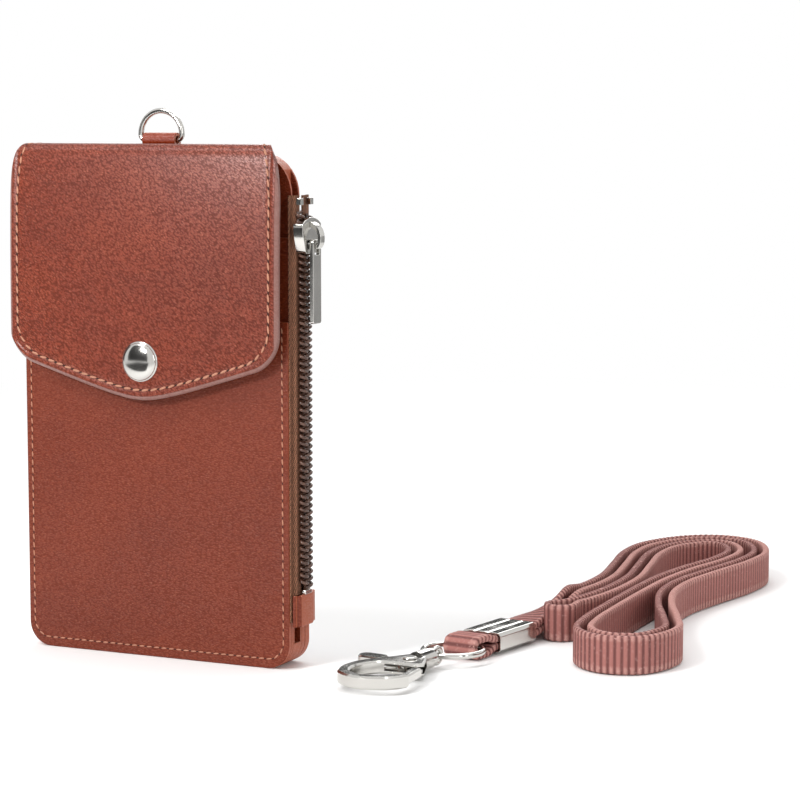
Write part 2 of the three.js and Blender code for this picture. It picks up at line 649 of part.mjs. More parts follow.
// Flat outline on the ground, thick in height about the axis
function plate(shape, thickness, bevel = 0, middle = 0, curveSegments = 5) {
  return new THREE.ExtrudeGeometry(shape, {
    depth: thickness - 2 * bevel, bevelEnabled: bevel > 0, bevelThickness: bevel, bevelSize: bevel,
    bevelOffset: -bevel, bevelSegments: 1, curveSegments,
  }).translate(0, 0, middle - thickness / 2 + bevel);
}
const rod = (radius, x0, x1, segments = 16) => new THREE.CylinderGeometry(radius, radius, x1 - x0, segments)
  .rotateZ(-Math.PI / 2).translate((x0 + x1) / 2, 0, 0);
const upright = (radius, z0, z1, segments = 16) => new THREE.CylinderGeometry(radius, radius, z1 - z0, segments)
  .rotateX(Math.PI / 2).translate(pivotAlong, pivotAcross, (z0 + z1) / 2);

const hookShape = new THREE.Shape();
hookShape.moveTo(hookLength - barrelLength + 1, 2.4);
hookShape.lineTo(21.8, 5.2);
hookShape.splineThru([[18.6, 6.9], [14, 8.9], [8, 9], [2.4, 6.2], [0, 0], [2.2, -6.2], [5.4, -9]]
  .map(([x, y]) => new THREE.Vector2(x, y)));
const fromPivot = (radius, degrees) => new THREE.Vector2(
  pivotAlong + radius * Math.cos(THREE.MathUtils.degToRad(degrees)),
  pivotAcross + radius * Math.sin(THREE.MathUtils.degToRad(degrees)));
const noseOuter = fromPivot(gateReach + runningGap + 0.1, 213);
const noseInner = fromPivot(gateReach + runningGap + 0.1, 205);
hookShape.lineTo(noseOuter.x, noseOuter.y);
hookShape.lineTo(noseInner.x, noseInner.y);
hookShape.splineThru([[4.4, -4.4], [2.8, 0], [4.6, 4.3], [8.8, 6.2], [13.4, 5.8], [16.8, 3.4], [17.8, 0], [18.2, -5]]
  .map(([x, y]) => new THREE.Vector2(x, y)));
hookShape.lineTo(19.8, -6.4);
hookShape.lineTo(hookLength - barrelLength + 1, -2.4);
const headRoom = [hookLength - barrelLength + 0.8, hookLength - 1.4]; // for the stem's head inside the barrel
addToLanyard('hook_body', cut(
  join(plate(hookShape, hookThickness, hookBevel, 0, 3), rod(barrelRadius, hookLength - barrelLength, hookLength, 20)),
  new THREE.BoxGeometry(9.2, 20, gateSlot).translate(pivotAlong - 1, 0, 0),
  upright(rivetRadius + runningGap, -hookThickness, hookThickness),
  rod(stemHeadRadius + runningGap, ...headRoom),
  rod(stemRadius + runningGap, hookLength - 2, hookLength + 1)), 'nickel');

// Gate: a thin hub in the slot, a thick arm that closes the hook and a thick thumb lever
const hub = new THREE.Shape();
hub.absarc(pivotAlong, pivotAcross, 3, 0, 2 * Math.PI);
const armTip = [fromPivot(gateReach, 205.5), fromPivot(gateReach, 212.5)];
const armShape = (end) => {
  const shape = new THREE.Shape();
  shape.moveTo(armTip[0].x, armTip[0].y);
  shape.lineTo(armTip[1].x, armTip[1].y);
  shape.lineTo(end, -7.4);
  shape.lineTo(end, -5);
  return shape;
};
const thinArm = new THREE.Shape();
thinArm.moveTo(16, -5.2);
thinArm.lineTo(16, -7.2);
thinArm.lineTo(19.5, -6.2);
thinArm.lineTo(pivotAlong + 1.5, pivotAcross - 2);
thinArm.lineTo(pivotAlong - 1, pivotAcross + 2);
const lever = new THREE.Shape();
lever.moveTo(20.6, pivotAcross);
lever.lineTo(24.4, pivotAcross);
lever.lineTo(24.4, 8);
lever.lineTo(20.6, 8);
const thumb = panelShape(20.4, 24.8, 6.7, 14, [0.8, 0.8, 2.1, 2.1]);
const hubMiddle = -(gateSlot - gateThickness) / 2 + runningGap;
addToLanyard('gate', cut(join(
  plate(hub, gateThickness, 0, hubMiddle, 10), plate(thinArm, gateThickness, 0, hubMiddle),
  plate(lever, gateThickness, 0, hubMiddle), plate(armShape(17.2), gateArmThickness, 0.4, 0),
  plate(thumb, gateArmThickness, 0.4, 0, 4)),
upright(rivetRadius + runningGap, -hookThickness, hookThickness)), 'nickel');
const rivetFace = hookThickness / 2 + 0.1;
addToLanyard('gate_rivet', turned([[0, -rivetFace - rivetHead], [rivetHeadRadius * 0.8, -rivetFace - rivetHead],
  [rivetHeadRadius, -rivetFace], [rivetRadius, -rivetFace], [rivetRadius, rivetFace], [rivetHeadRadius, rivetFace],
  [rivetHeadRadius * 0.8, rivetFace + rivetHead], [0, rivetFace + rivetHead]], 16)
  .rotateX(Math.PI / 2).translate(pivotAlong, pivotAcross, 0), 'nickel');
const springPath = new THREE.Path();
springPath.absarc(pivotAlong, pivotAcross, springRadius, -0.3, 1.6 * Math.PI);
addToLanyard('gate_spring', wireAlong(planeCurve(springPath, 16,
  (p) => new THREE.Vector3(p.x, p.y, gateSlot / 2 - springWire - 0.1)), springWire, 6, 16), 'nickel');

// Swivel: headed stem in the barrel, collar and eye
const eyeAlong = hookLength + runningGap + collarLength + swivelEyeRadius + 0.2;
addToLanyard('swivel_eye', join(
  rod(stemHeadRadius, headRoom[0] + runningGap, headRoom[0] + runningGap + stemHeadLength),
  rod(stemRadius, hookLength - barrelLength + 2, hookLength + runningGap + 0.3),
  rod(collarRadius, hookLength + runningGap, hookLength + runningGap + collarLength, 16),
  new THREE.TorusGeometry(swivelEyeRadius, swivelEyeWire, 8, 16).rotateX(Math.PI / 2).translate(eyeAlong, 0, 0)),
'nickel');

const ringMiddle = eyeAlong + keyRingRadius;
const butt = THREE.MathUtils.degToRad(keyRingButt);
const keyRingPath = new THREE.Path();
keyRingPath.absarc(ringMiddle, 0, keyRingRadius, Math.PI / 2 + butt, 2.5 * Math.PI - butt);
addToLanyard('wire_ring', wireAlong(
  planeCurve(keyRingPath, 40, (p) => new THREE.Vector3(p.x, p.y, 0)), keyRingWire, 8, 40), 'nickel');

// Sewn end loop round the ring, its two legs clamped in the crimp
const bight = ringMiddle + keyRingRadius - loopBack;
const crimpStart = ringMiddle + keyRingRadius + loopToCrimp;
const legEnd = crimpStart + legsInCrimp;
const legInside = 0.05;
const endLoop = new THREE.Shape();
const loopOuterRadius = loopClear + strapThickness;
endLoop.moveTo(legEnd, legInside + strapThickness);
endLoop.lineTo(crimpStart, legInside + strapThickness);
endLoop.lineTo(crimpStart - 4, loopOuterRadius);
endLoop.lineTo(bight, loopOuterRadius);
endLoop.absarc(bight, 0, loopOuterRadius, Math.PI / 2, 1.5 * Math.PI);
endLoop.lineTo(crimpStart - 4, -loopOuterRadius);
endLoop.lineTo(crimpStart, -legInside - strapThickness);
endLoop.lineTo(legEnd, -legInside - strapThickness);
endLoop.lineTo(legEnd, -legInside);
endLoop.lineTo(crimpStart, -legInside);
endLoop.lineTo(crimpStart - 4, -loopClear);
endLoop.lineTo(bight, -loopClear);
endLoop.absarc(bight, 0, loopClear, 1.5 * Math.PI, Math.PI / 2, true);
endLoop.lineTo(crimpStart - 4, loopClear);
endLoop.lineTo(crimpStart, legInside);
endLoop.lineTo(legEnd, legInside);
addToLanyard('strap_end_loop', slab(endLoop, -strapWidth / 2, strapWidth / 2, 8), 'webbing');

// Crimp: a folded sheet sleeve with two grooves pressed along its upper face
const crimpInHalf = strapWidth / 2 + 0.45;
const crimpInRise = legInside + strapThickness + 0.15;
const crimpOutline = (half, rise, corner, groove) => {
  const shape = new THREE.Shape();
  shape.moveTo(-half, -rise + corner);
  shape.lineTo(-half + corner, -rise);
  shape.lineTo(half - corner, -rise);
  shape.lineTo(half, -rise + corner);
  shape.lineTo(half, rise - corner);
  shape.lineTo(half - corner, rise);
  for (const y of groove ? [half / 3, -half / 3] : []) {
    shape.lineTo(y + 0.45, rise);
    shape.lineTo(y, rise - groove);
    shape.lineTo(y - 0.45, rise);
  }
  shape.lineTo(-half + corner, rise);
  shape.lineTo(-half, rise - corner);
  return shape;
};
addToLanyard('crimp', cut(
  barAlongX(crimpOutline(crimpInHalf + crimpWall, crimpInRise + crimpWall, crimpCorner + crimpWall, crimpGroove),
    crimpStart, crimpStart + crimpLength),
  barAlongX(crimpOutline(crimpInHalf, crimpInRise, crimpCorner, 0),
    crimpStart - 1, crimpStart + crimpLength + 1)), 'nickel');
holder.add(lanyard);

// Strap: two strands side by side along the route, standing on edge, joined where they turn back
const heading = new THREE.Vector3(Math.cos(hookTurn), Math.sin(hookTurn), 0);
const along = (a) => new THREE.Vector3(hookTip.x, hookTip.y, 0).addScaledVector(heading, a);
const strapStart = legEnd + runningGap;
const pairCurve = new THREE.CatmullRomCurve3([
  along(strapStart), along(strapStart + 6), along(strapStart + 13),
  ...strapRoute.map(([x, y]) => new THREE.Vector3(x, y, 0))], false, 'catmullrom', 0.5);
pairCurve.arcLengthDivisions = 1200;
const pairLength = pairCurve.getLength();
const up = new THREE.Vector3(0, 0, 1);

function strandPoint(distance, side) {
  const u = Math.min(distance / pairLength, 1);
  const middle = pairCurve.getPointAt(u);
  const tangent = pairCurve.getTangentAt(u);
  const sideways = new THREE.Vector3().crossVectors(up, tangent).normalize();
  const turn = THREE.MathUtils.smoothstep(distance, crimpLength - legsInCrimp, twistLength);
  const angle = turn * Math.PI / 2;
  const spread = THREE.MathUtils.lerp(legInside + strapThickness / 2, strandPitch / 2, turn);
  const away = up.clone().multiplyScalar(Math.cos(angle)).addScaledVector(sideways, Math.sin(angle));
  const broad = up.clone().multiplyScalar(Math.sin(angle)).addScaledVector(sideways, -Math.cos(angle));
  const under = THREE.MathUtils.lerp(axisHeight - legInside - strapThickness, strapClear, turn);
  middle.z = strapWidth / 2 * Math.sin(angle) + (spread + strapThickness / 2) * Math.cos(angle) + under;
  return { at: middle.addScaledVector(away, side * spread), away: away.multiplyScalar(side), broad };
}

// Sections closer together where the strap bends
const stations = [0];
const turnStep = 0.45;
const longestStep = 28;
for (let d = 0, last = 0; d < pairLength; d += 1) {
  const bend = pairCurve.getTangentAt(d / pairLength).angleTo(pairCurve.getTangentAt(last / pairLength));
  const step = d < twistLength + 4 ? 7 : longestStep;
  if (d - last >= step || bend > turnStep) {
    stations.push(d);
    last = d;
  }
}
const closingEnd = pairCurve.getPointAt(1);
const closingWay = pairCurve.getTangentAt(1);
const closingSide = new THREE.Vector3().crossVectors(up, closingWay);
const closing = [];
const opening = Math.asin(strandPitch / 2 / closingRadius);
const closingSteps = 7;
for (let i = 1; i < closingSteps; i += 1) {
  const angle = opening + (i / closingSteps) * (2 * Math.PI - 2 * opening);
  const outwards = closingSide.clone().multiplyScalar(Math.sin(angle)).addScaledVector(closingWay, -Math.cos(angle));
  const middle = closingEnd.clone().addScaledVector(closingWay, closingRadius * Math.cos(opening) + 1);
  middle.z = strapWidth / 2 + strapClear;
  closing.push({ at: middle.addScaledVector(outwards, closingRadius), away: outwards, broad: up.clone() });
}
const strands = [
  ...stations.map((d) => strandPoint(d, 1)), ...closing, ...stations.slice().reverse().map((d) => strandPoint(d, -1))];
const sectionCorner = 0.5;
const strapRings = strands.map(({ at, away, broad }) => {
  const w = strapWidth / 2;
  const t = strapThickness / 2;
  const c = sectionCorner;
  return [[-w, -t + c], [-w, t - c], [-w + c, t], [w - c, t], [w, t - c], [w, -t + c], [w - c, -t], [-w + c, -t]]
    .map(([b, a]) => at.clone().addScaledVector(broad, b).addScaledVector(away, a));
});
let strapLength = 0;
strands.forEach(({ at }, i) => {
  if (i) strapLength += at.distanceTo(strands[i - 1].at);
});
console.log('strap length', strapLength.toFixed(0), 'mm in', strapRings.length, 'sections');
addPiece('strap', skinOf(strapRings), 'webbing');

export default holder;
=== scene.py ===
from math import cos, dist, exp, pi, radians, sin, sqrt

import bpy
import numpy as np
from mathutils import Matrix, Vector


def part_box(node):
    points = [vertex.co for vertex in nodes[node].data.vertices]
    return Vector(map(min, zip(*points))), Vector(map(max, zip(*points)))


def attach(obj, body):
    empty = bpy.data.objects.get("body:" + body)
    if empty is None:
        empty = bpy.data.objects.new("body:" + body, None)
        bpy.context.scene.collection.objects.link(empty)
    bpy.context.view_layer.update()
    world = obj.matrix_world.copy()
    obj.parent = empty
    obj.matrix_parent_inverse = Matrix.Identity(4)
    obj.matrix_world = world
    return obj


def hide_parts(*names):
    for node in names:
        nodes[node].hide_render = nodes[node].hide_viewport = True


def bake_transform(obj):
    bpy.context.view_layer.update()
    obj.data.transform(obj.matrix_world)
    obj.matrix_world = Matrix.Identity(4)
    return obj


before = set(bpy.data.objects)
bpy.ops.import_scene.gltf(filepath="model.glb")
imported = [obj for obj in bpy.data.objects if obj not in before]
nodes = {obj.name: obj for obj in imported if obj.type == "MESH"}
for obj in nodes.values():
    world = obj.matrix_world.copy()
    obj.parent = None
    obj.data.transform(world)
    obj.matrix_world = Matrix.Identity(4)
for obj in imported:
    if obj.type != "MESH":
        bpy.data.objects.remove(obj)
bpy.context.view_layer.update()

mm = 0.001
bpy.ops.object.select_all(action="DESELECT")
print("frame loaded:", len(nodes), "nodes")


# Shader maths: a socket that takes Python arithmetic, and a recipe that adds nodes

class Feed:
    def __init__(self, recipe, socket):
        self.recipe, self.socket = recipe, socket

    def maths(self, operation, other=0.0):
        return self.recipe.add("ShaderNodeMath", {"operation": operation}, {0: self, 1: other})

    def __add__(self, other):
        return self.maths("ADD", other)

    def __sub__(self, other):
        return self.maths("SUBTRACT", other)

    def __rsub__(self, other):
        return self.recipe.add("ShaderNodeMath", {"operation": "SUBTRACT"}, {0: other, 1: self})

    def __mul__(self, other):
        return self.maths("MULTIPLY", other)

    def __truediv__(self, other):
        return self.maths("DIVIDE", other)

    def __lt__(self, other):
        return self.maths("LESS_THAN", other)

    def __gt__(self, other):
        return self.maths("GREATER_THAN", other)

    def __abs__(self):
        return self.maths("ABSOLUTE")

    def wave(self):
        return self.maths("SINE")

    __radd__ = __add__
    __rmul__ = __mul__


class Recipe:
    def __init__(self, name):
        self.material = bpy.data.materials.new(name)
        self.material.use_nodes = True
        self.tree = self.material.node_tree
        self.shader = self.tree.nodes["Principled BSDF"]
        self.place = self.add("ShaderNodeTexCoord", output="Object")

    def add(self, kind, settings=None, values=None, output=0):
        node = self.tree.nodes.new(kind)
        for key, value in (settings or {}).items():
            if key == "stops":
                self.setStops(node.color_ramp, value)
            else:
                setattr(node, key, value)
        for key, value in (values or {}).items():
            self.feed(node.inputs[key], value)
        return Feed(self, node.outputs[output])

    def setStops(self, ramp, stops):
        while len(ramp.elements) < len(stops):
            ramp.elements.new(0.5)
        for element, (position, colour) in zip(ramp.elements, stops):
            element.position, element.color = position, (*colour, 1)

    def feed(self, socket, value):
        if isinstance(value, Feed):
            self.tree.links.new(value.socket, socket)
        elif hasattr(value, "__len__") and len(value) == 3 and len(socket.default_value) == 4:
            socket.default_value = (*value, 1)
        else:
            socket.default_value = value

    def set(self, **values):
        for key, value in values.items():
            self.feed(self.shader.inputs[key.replace("_", " ")], value)

    def noise(self, scale, detail=3, roughness=0.5, vector=None):
        return self.add("ShaderNodeTexNoise", {}, {
            "Vector": vector or self.place, "Scale": scale, "Detail": detail, "Roughness": roughness})

    def cells(self, scale, vector, feature="DISTANCE_TO_EDGE"):
        return self.add("ShaderNodeTexVoronoi", {"feature": feature}, {"Vector": vector, "Scale": scale})

    def ramp(self, value, *stops):
        return self.add("ShaderNodeValToRGB", {"stops": stops}, {0: value})

    def range(self, value, low, high, toLow=0.0, toHigh=1.0):
        return self.add("ShaderNodeMapRange", {"interpolation_type": "SMOOTHSTEP"}, {
            0: value, 1: low, 2: high, 3: toLow, 4: toHigh})

    def mix(self, factor, first, second):
        return self.add("ShaderNodeMix", {"data_type": "RGBA"}, {0: factor, 6: first, 7: second}, 2)

    def axis(self, vector, letter):
        return self.add("ShaderNodeSeparateXYZ", {}, {0: vector}, letter)

    def warped(self, scale, amount):  # place moved about by a noise of that scale
        moved = self.add("ShaderNodeTexNoise", {}, {"Vector": self.place, "Scale": scale, "Detail": 2.0}, 1)
        steps = {"SUBTRACT": {1: (0.5, 0.5, 0.5)}, "SCALE": {"Scale": amount}, "ADD": {1: self.place}}
        for operation, values in steps.items():
            moved = self.add("ShaderNodeVectorMath", {"operation": operation}, {0: moved, **values})
        return moved

    def bump(self, height, distance, strength=1.0):
        return self.add("ShaderNodeBump", {}, {"Height": height, "Distance": distance, "Strength": strength})


# Finishes

leatherLook = {
    "base": (0.212, 0.022, 0.002), "light": (0.268, 0.035, 0.005), "dark": (0.172, 0.018, 0.002),
    "valleyShade": (0.070, 0.009, 0.002), "fleckHighlight": (0.500, 0.160, 0.085), "paint": (0.225, 0.108, 0.090),
    "rim": True, "grainCells": 2300, "grainDepth": 0.00017, "grain": 1.0, "roughness": (0.30, 0.40),
    "gloss": 0.16, "coat": 1.0, "coatRoughness": 0.33,
}


def leatherFinish(name, look, shift=0.0):  # pebbles drawn out along a slant, with painted highlights on their tops and painted shade in the valleys between
    r = Recipe(name)
    cells, grain = look["grainCells"], look["grain"]
    slanted = r.add("ShaderNodeMapping", {"vector_type": "TEXTURE"}, {
        "Vector": r.warped(900, 0.0005), "Rotation": (0.0, radians(34 - shift), 0.0),
        "Scale": (1.75, 1.0, 0.78)})
    rounded = r.range(r.cells(cells, slanted, "SMOOTH_F1"), 0.22, 0.60, 1.0, 0.0)
    pebbles = rounded * 0.75 + r.range(r.cells(cells, slanted), 0.0, 0.30) * 0.25
    creases = r.range(r.cells(cells * 0.45, slanted), 0.0, 0.10)
    flecks = r.range(r.noise(cells * 0.9, 2, 0.5, slanted), 0.52, 0.70)
    cloud = r.noise(46, 4, 0.6)
    tone = cloud * 0.75 + r.noise(210, 3) * 0.25
    colour = r.ramp(tone, (0.30, look["dark"]), (0.5, look["base"]), (0.72, look["light"]))
    # painted shade: the colour darkens in the grain's valleys and creases
    colour = r.mix((1 - pebbles * (0.85 + creases * 0.15)) * (0.80 * grain), colour, look["valleyShade"])
    # painted highlight: pale flecks laid on the pebble tops
    colour = r.mix(flecks * pebbles * (0.34 * grain), colour, look["fleckHighlight"])
    if look["rim"]:  # the flap's painted rim, marked on its mesh
        rim = r.range(r.add("ShaderNodeAttribute", {"attribute_name": "rim"}, output=2), 0.10, 0.30)
    else:
        sideways = abs(r.axis(r.add("ShaderNodeTexCoord", output="Normal"), "Y"))
        rim = r.range(sideways, 0.35, 0.62, 1.0, 0.0)
    edge = rim * r.range(r.noise(420, 3), 0.28, 0.55, 0.80, 1.0)
    colour = r.mix(edge, colour, look["paint"])
    low, high = look["roughness"]
    rough = low + r.range(cloud, 0.35, 0.65) * (high - low) + (1 - pebbles) * 0.12
    height = pebbles * 0.8 + creases * 0.15 + flecks * 0.22 + r.noise(5200, 2) * 0.10
    r.set(Base_Color=colour, Roughness=rough, Specular_IOR_Level=look["gloss"],
          Normal=r.bump(height * (1 - edge * 0.8), look["grainDepth"] * grain),
          Coat_Weight=(pebbles * 0.7 + 0.3) * look["coat"], Coat_Roughness=look["coatRoughness"])
    return r.material


def threadFinish(colour):
    r = Recipe("thread")
    twist = r.add("ShaderNodeTexWave", {"wave_type": "BANDS", "bands_direction": "DIAGONAL"}, {
        "Vector": r.place, "Scale": 1500.0, "Distortion": 2.0, "Detail": 1.0})
    shade = r.mix(twist * 0.5, colour, tuple(c * 0.45 for c in colour))
    r.set(Base_Color=r.mix(r.noise(300, 2) * 0.5, shade, tuple(min(1, c * 1.5) for c in colour)),
          Roughness=0.62, Normal=r.bump(twist, 0.00004, 0.8))
    return r.material


def liningFinish():
    r = Recipe("flapLining")
    weave = r.add("ShaderNodeTexWave", {"bands_direction": "DIAGONAL"}, {
        "Vector": r.place, "Scale": 420.0, "Distortion": 1.2, "Detail": 2.0})
    colour = r.ramp(r.noise(120, 4), (0.3, (0.016, 0.008, 0.007)), (0.7, (0.040, 0.019, 0.016)))
    r.set(Base_Color=r.mix(weave * 0.35, colour, (0.060, 0.030, 0.024)), Roughness=0.78,
          Normal=r.bump(weave + r.noise(2600, 2) * 0.5, 0.00005, 0.8))
    return r.material


tapeLook = {"rib": 0.00074, "yarn": 0.00062, "dark": (0.045, 0.017, 0.008), "light": (0.430, 0.190, 0.108)}


def tapeFinish():
    r = Recipe("zipTape")
    z = r.axis(r.place, "Z") * (2 * pi / tapeLook["rib"])
    y = (r.axis(r.place, "Y") + r.axis(r.place, "X")) * (2 * pi / tapeLook["yarn"])
    basket = z.wave() * (y + z * 0.5).wave()
    height = r.range(basket + r.noise(2300, 2) * 1.5 - 0.45, -0.45, 0.9)
    # painted shade and highlight: darker in the weave's hollows, paler on its crests
    colour = r.mix(height, tapeLook["dark"], tapeLook["light"])
    r.set(Base_Color=r.mix(r.noise(260, 3) * 0.4, colour, tapeLook["dark"]), Roughness=0.82,
          Normal=r.bump(height, 0.00025), Specular_IOR_Level=0.3)
    return r.material


def coilFinish():
    r = Recipe("zipCoil")
    # painted highlight: the lighter patches of this noise stand for glints
    glint = r.noise(700, 2)
    r.set(Base_Color=r.ramp(glint, (0.35, (0.046, 0.019, 0.012)), (0.7, (0.125, 0.060, 0.040))),
          Roughness=0.17 + glint * 0.16, Normal=r.bump(r.noise(4000, 2), 0.00002, 0.5))
    return r.material


def nickelFinish(tint=(0.58, 0.565, 0.535), roughness=0.10):
    r = Recipe("nickel")
    smudge = r.noise(130, 3)
    scratch = r.noise(1.0, 2, 0.5, r.add("ShaderNodeMapping", {}, {
        "Vector": r.warped(90, 0.002), "Scale": (2600, 180, 900)}))
    r.set(Base_Color=r.mix(smudge * 0.3, tint, tuple(c * 0.86 for c in tint)), Metallic=1.0,
          Roughness=roughness + r.range(smudge, 0.4, 0.75) * 0.07 + r.range(scratch, 0.6, 0.8) * 0.06,
          Normal=r.bump(scratch + r.noise(500, 2), 0.000006, 0.4))
    return r.material


webbingLook = {"rib": 0.0016, "yarn": 0.00045, "base": (0.400, 0.160, 0.138), "dark": (0.150, 0.050, 0.046),
               "light": (0.680, 0.400, 0.350)}


def webbingFinish():  # u runs round the section, v along the strap in metres
    r = Recipe("webbing")
    uv = r.add("ShaderNodeTexCoord", output="UV")
    u, v = r.axis(uv, "X"), r.axis(uv, "Y")
    selvage = r.range(abs(u.maths("PINGPONG", 0.5) - 0.25), 0.13, 0.17)
    ribs = (v * (2 * pi / webbingLook["rib"])).wave() * 0.5 + 0.5
    yarn = (v * (2 * pi / webbingLook["yarn"]) + u * 260.0).wave() * 0.5 + 0.5
    height = ribs + yarn * 0.22
    speck = r.range(r.noise(1500, 3), 0.56, 0.72)
    # painted shade: darker in the grooves between the ribs
    colour = r.mix(r.range(height, 0.1, 0.85), webbingLook["dark"], webbingLook["base"])
    colour = r.mix(speck * (0.28 + selvage * 0.5), colour, webbingLook["light"])
    # painted highlight: paler on the rib crests along the beaded edges
    colour = r.mix(selvage * ribs * 0.45, colour, webbingLook["light"])
    colour = r.mix(r.noise(80, 3) * 0.22, colour, webbingLook["dark"])
    r.set(Base_Color=colour, Roughness=0.74, Normal=r.bump(height, 0.00022), Specular_IOR_Level=0.3)
    return r.material


filmLook = {"half": 0.0275, "middle": 0.0495, "halfHeight": 0.0385, "bend": 0.0042,
            "shade": (0.36, 0.37, 0.38)}


def filmFinish():  # clear, with painted shade: greyer and less clear where it bends down to the frame
    r = Recipe("clearFilm")
    bend = filmLook["bend"]
    sides = r.range(abs(r.axis(r.place, "X")), filmLook["half"] - bend, filmLook["half"] + bend * 0.4)
    ends = r.range(abs(r.axis(r.place, "Z") - filmLook["middle"]), filmLook["halfHeight"] - bend * 0.6,
                   filmLook["halfHeight"] + bend * 0.6)
    # painted shade along the window's edges
    grey = sides.maths("MAXIMUM", ends * 0.8)
    r.set(Base_Color=r.mix(grey, (1.0, 1.0, 1.0), filmLook["shade"]), Roughness=0.05,
          Alpha=0.05 + r.range(r.noise(40, 2), 0.5, 0.8) * 0.03 + grey * 0.24, Specular_IOR_Level=0.5)
    return r.material


insertLook = {
    "yellow": (0.95, 0.47, 0.010), "blue": (0.060, 0.380, 0.84), "grey": (0.62, 0.62, 0.63),
    "white": (0.90, 0.90, 0.89), "box": (0.70, 0.72, 0.74), "ink": (0.30, 0.30, 0.32), "ruleGap": 0.0062,
}


def insertFinish():  # plain printed bands, an empty picture box and ruled lines
    look = insertLook
    r = Recipe("printedInsert")
    x, z = r.axis(r.place, "X"), r.axis(r.place, "Z")
    inside = lambda value, low, high: (value > low) * (value < high)
    lean = z + x * 0.55
    colour = r.mix(inside(lean, 0.078, 0.088), look["white"], look["yellow"])
    colour = r.mix(inside(lean, 0.0705, 0.0755), colour, look["blue"])
    foot = z - x * 0.32
    colour = r.mix(foot < 0.0150, colour, look["grey"])
    colour = r.mix(foot < 0.0125, colour, look["blue"])
    box = inside(x, -0.011, 0.011) * inside(z, 0.042, 0.068)
    colour = r.mix(box, colour, look["box"])
    lines = ((z - 0.0215) / look["ruleGap"]).maths("FRACT") < 0.045
    ruled = lines * inside(z, 0.0205, 0.0375) * inside(x, -0.021, 0.022)
    colour = r.mix(ruled * 0.8, colour, look["ink"])
    r.set(Base_Color=colour, Roughness=0.34 + r.noise(900, 2) * 0.05,
          Normal=r.bump(r.noise(600, 2), 0.000006, 0.3))
    return r.material


def cardFinish():
    r = Recipe("plainCard")
    x, z = r.axis(r.place, "X"), r.axis(r.place, "Z")
    lean = z * 0.4 - x
    colour = r.mix((lean > 0.056) * (lean < 0.063), (0.72, 0.80, 0.86), (0.030, 0.060, 0.330))
    colour = r.mix((lean > 0.065) * (lean < 0.0685), colour, (0.85, 0.36, 0.02))
    r.set(Base_Color=colour, Roughness=0.30 + r.noise(700, 2) * 0.06,
          Normal=r.bump(r.noise(900, 2), 0.000004, 0.3))
    return r.material


# painted shade: the dark mark sunk where each needle hole is
def holeShadeFinish():
    r = Recipe("needleHoleShade")
    r.set(Base_Color=r.mix(r.noise(900, 2), (0.020, 0.006, 0.004), (0.045, 0.014, 0.009)), Roughness=0.9)
    return r.material


cutEdge = {"paint": (0.360, 0.085, 0.036), "rim": False}  # the redder paint of every edge but the flap's
finish = {
    "leather": leatherFinish("leather", leatherLook),
    "bodyLeather": leatherFinish("bodyLeather", {
        **leatherLook, **cutEdge, "grain": 0.6, "base": (0.172, 0.022, 0.004), "light": (0.200, 0.028, 0.006),
        "dark": (0.145, 0.017, 0.003), "gloss": 0.25, "roughness": (0.32, 0.42), "coat": 0.35}, 30),
    "smoothLeather": leatherFinish("smoothLeather", {
        **leatherLook, **cutEdge, "grain": 0.3, "roughness": (0.24, 0.36)}, 12),
    "thread": threadFinish((0.400, 0.175, 0.105)),
    "holeShade": holeShadeFinish(), "lining": liningFinish(), "tape": tapeFinish(), "coil": coilFinish(),
    "nickel": nickelFinish(), "webbing": webbingFinish(),
    "film": filmFinish(), "insert": insertFinish(), "card": cardFinish(),
}
print("finishes:", len(finish))


# Modelling helpers

def ease(t):  # smooth step from 0 to 1
    t = min(max(t, 0.0), 1.0)
    return t * t * (3 - 2 * t)


def setFinish(piece, name):
    piece.data.materials.clear()
    piece.data.materials.append(finish[name])


def activate(piece):
    bpy.ops.object.select_all(action="DESELECT")
    piece.select_set(True)
    bpy.context.view_layer.objects.active = piece


def applyModifier(piece, kind, **settings):
    activate(piece)
    modifier = piece.modifiers.new(kind.title(), kind)
    for key, value in settings.items():
        setattr(modifier, key, value)
    bpy.ops.object.modifier_apply(modifier=modifier.name)


def smooth(piece, degrees):
    activate(piece)
    bpy.ops.object.shade_smooth_by_angle(angle=radians(degrees))


def faceOut(piece, degrees, merge=0.0):  # turns the faces outwards and smooths them
    activate(piece)
    bpy.ops.object.mode_set(mode="EDIT")
    bpy.ops.mesh.select_all(action="SELECT")
    if merge:
        bpy.ops.mesh.remove_doubles(threshold=merge)
    bpy.ops.mesh.normals_make_consistent(inside=False)
    bpy.ops.object.mode_set(mode="OBJECT")
    smooth(piece, degrees)
    return piece


def settle(piece, body, replaced=(), look="nickel"):  # place, finish and body, and hides the nodes it replaces
    activate(piece)
    bpy.ops.object.transform_apply(location=True, rotation=True, scale=True)
    setFinish(piece, look)
    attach(piece, body)
    if replaced:
        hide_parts(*replaced)
    bpy.ops.object.select_all(action="DESELECT")
    return piece


def newPiece(name, data):
    piece = bpy.data.objects.new(name, data)
    bpy.context.scene.collection.objects.link(piece)
    return piece


def meshPiece(name, points, faces, edges=()):
    mesh = bpy.data.meshes.new(name)
    mesh.from_pydata([tuple(p) for p in points], list(edges), [tuple(f) for f in faces])
    mesh.update()
    return newPiece(name, mesh)


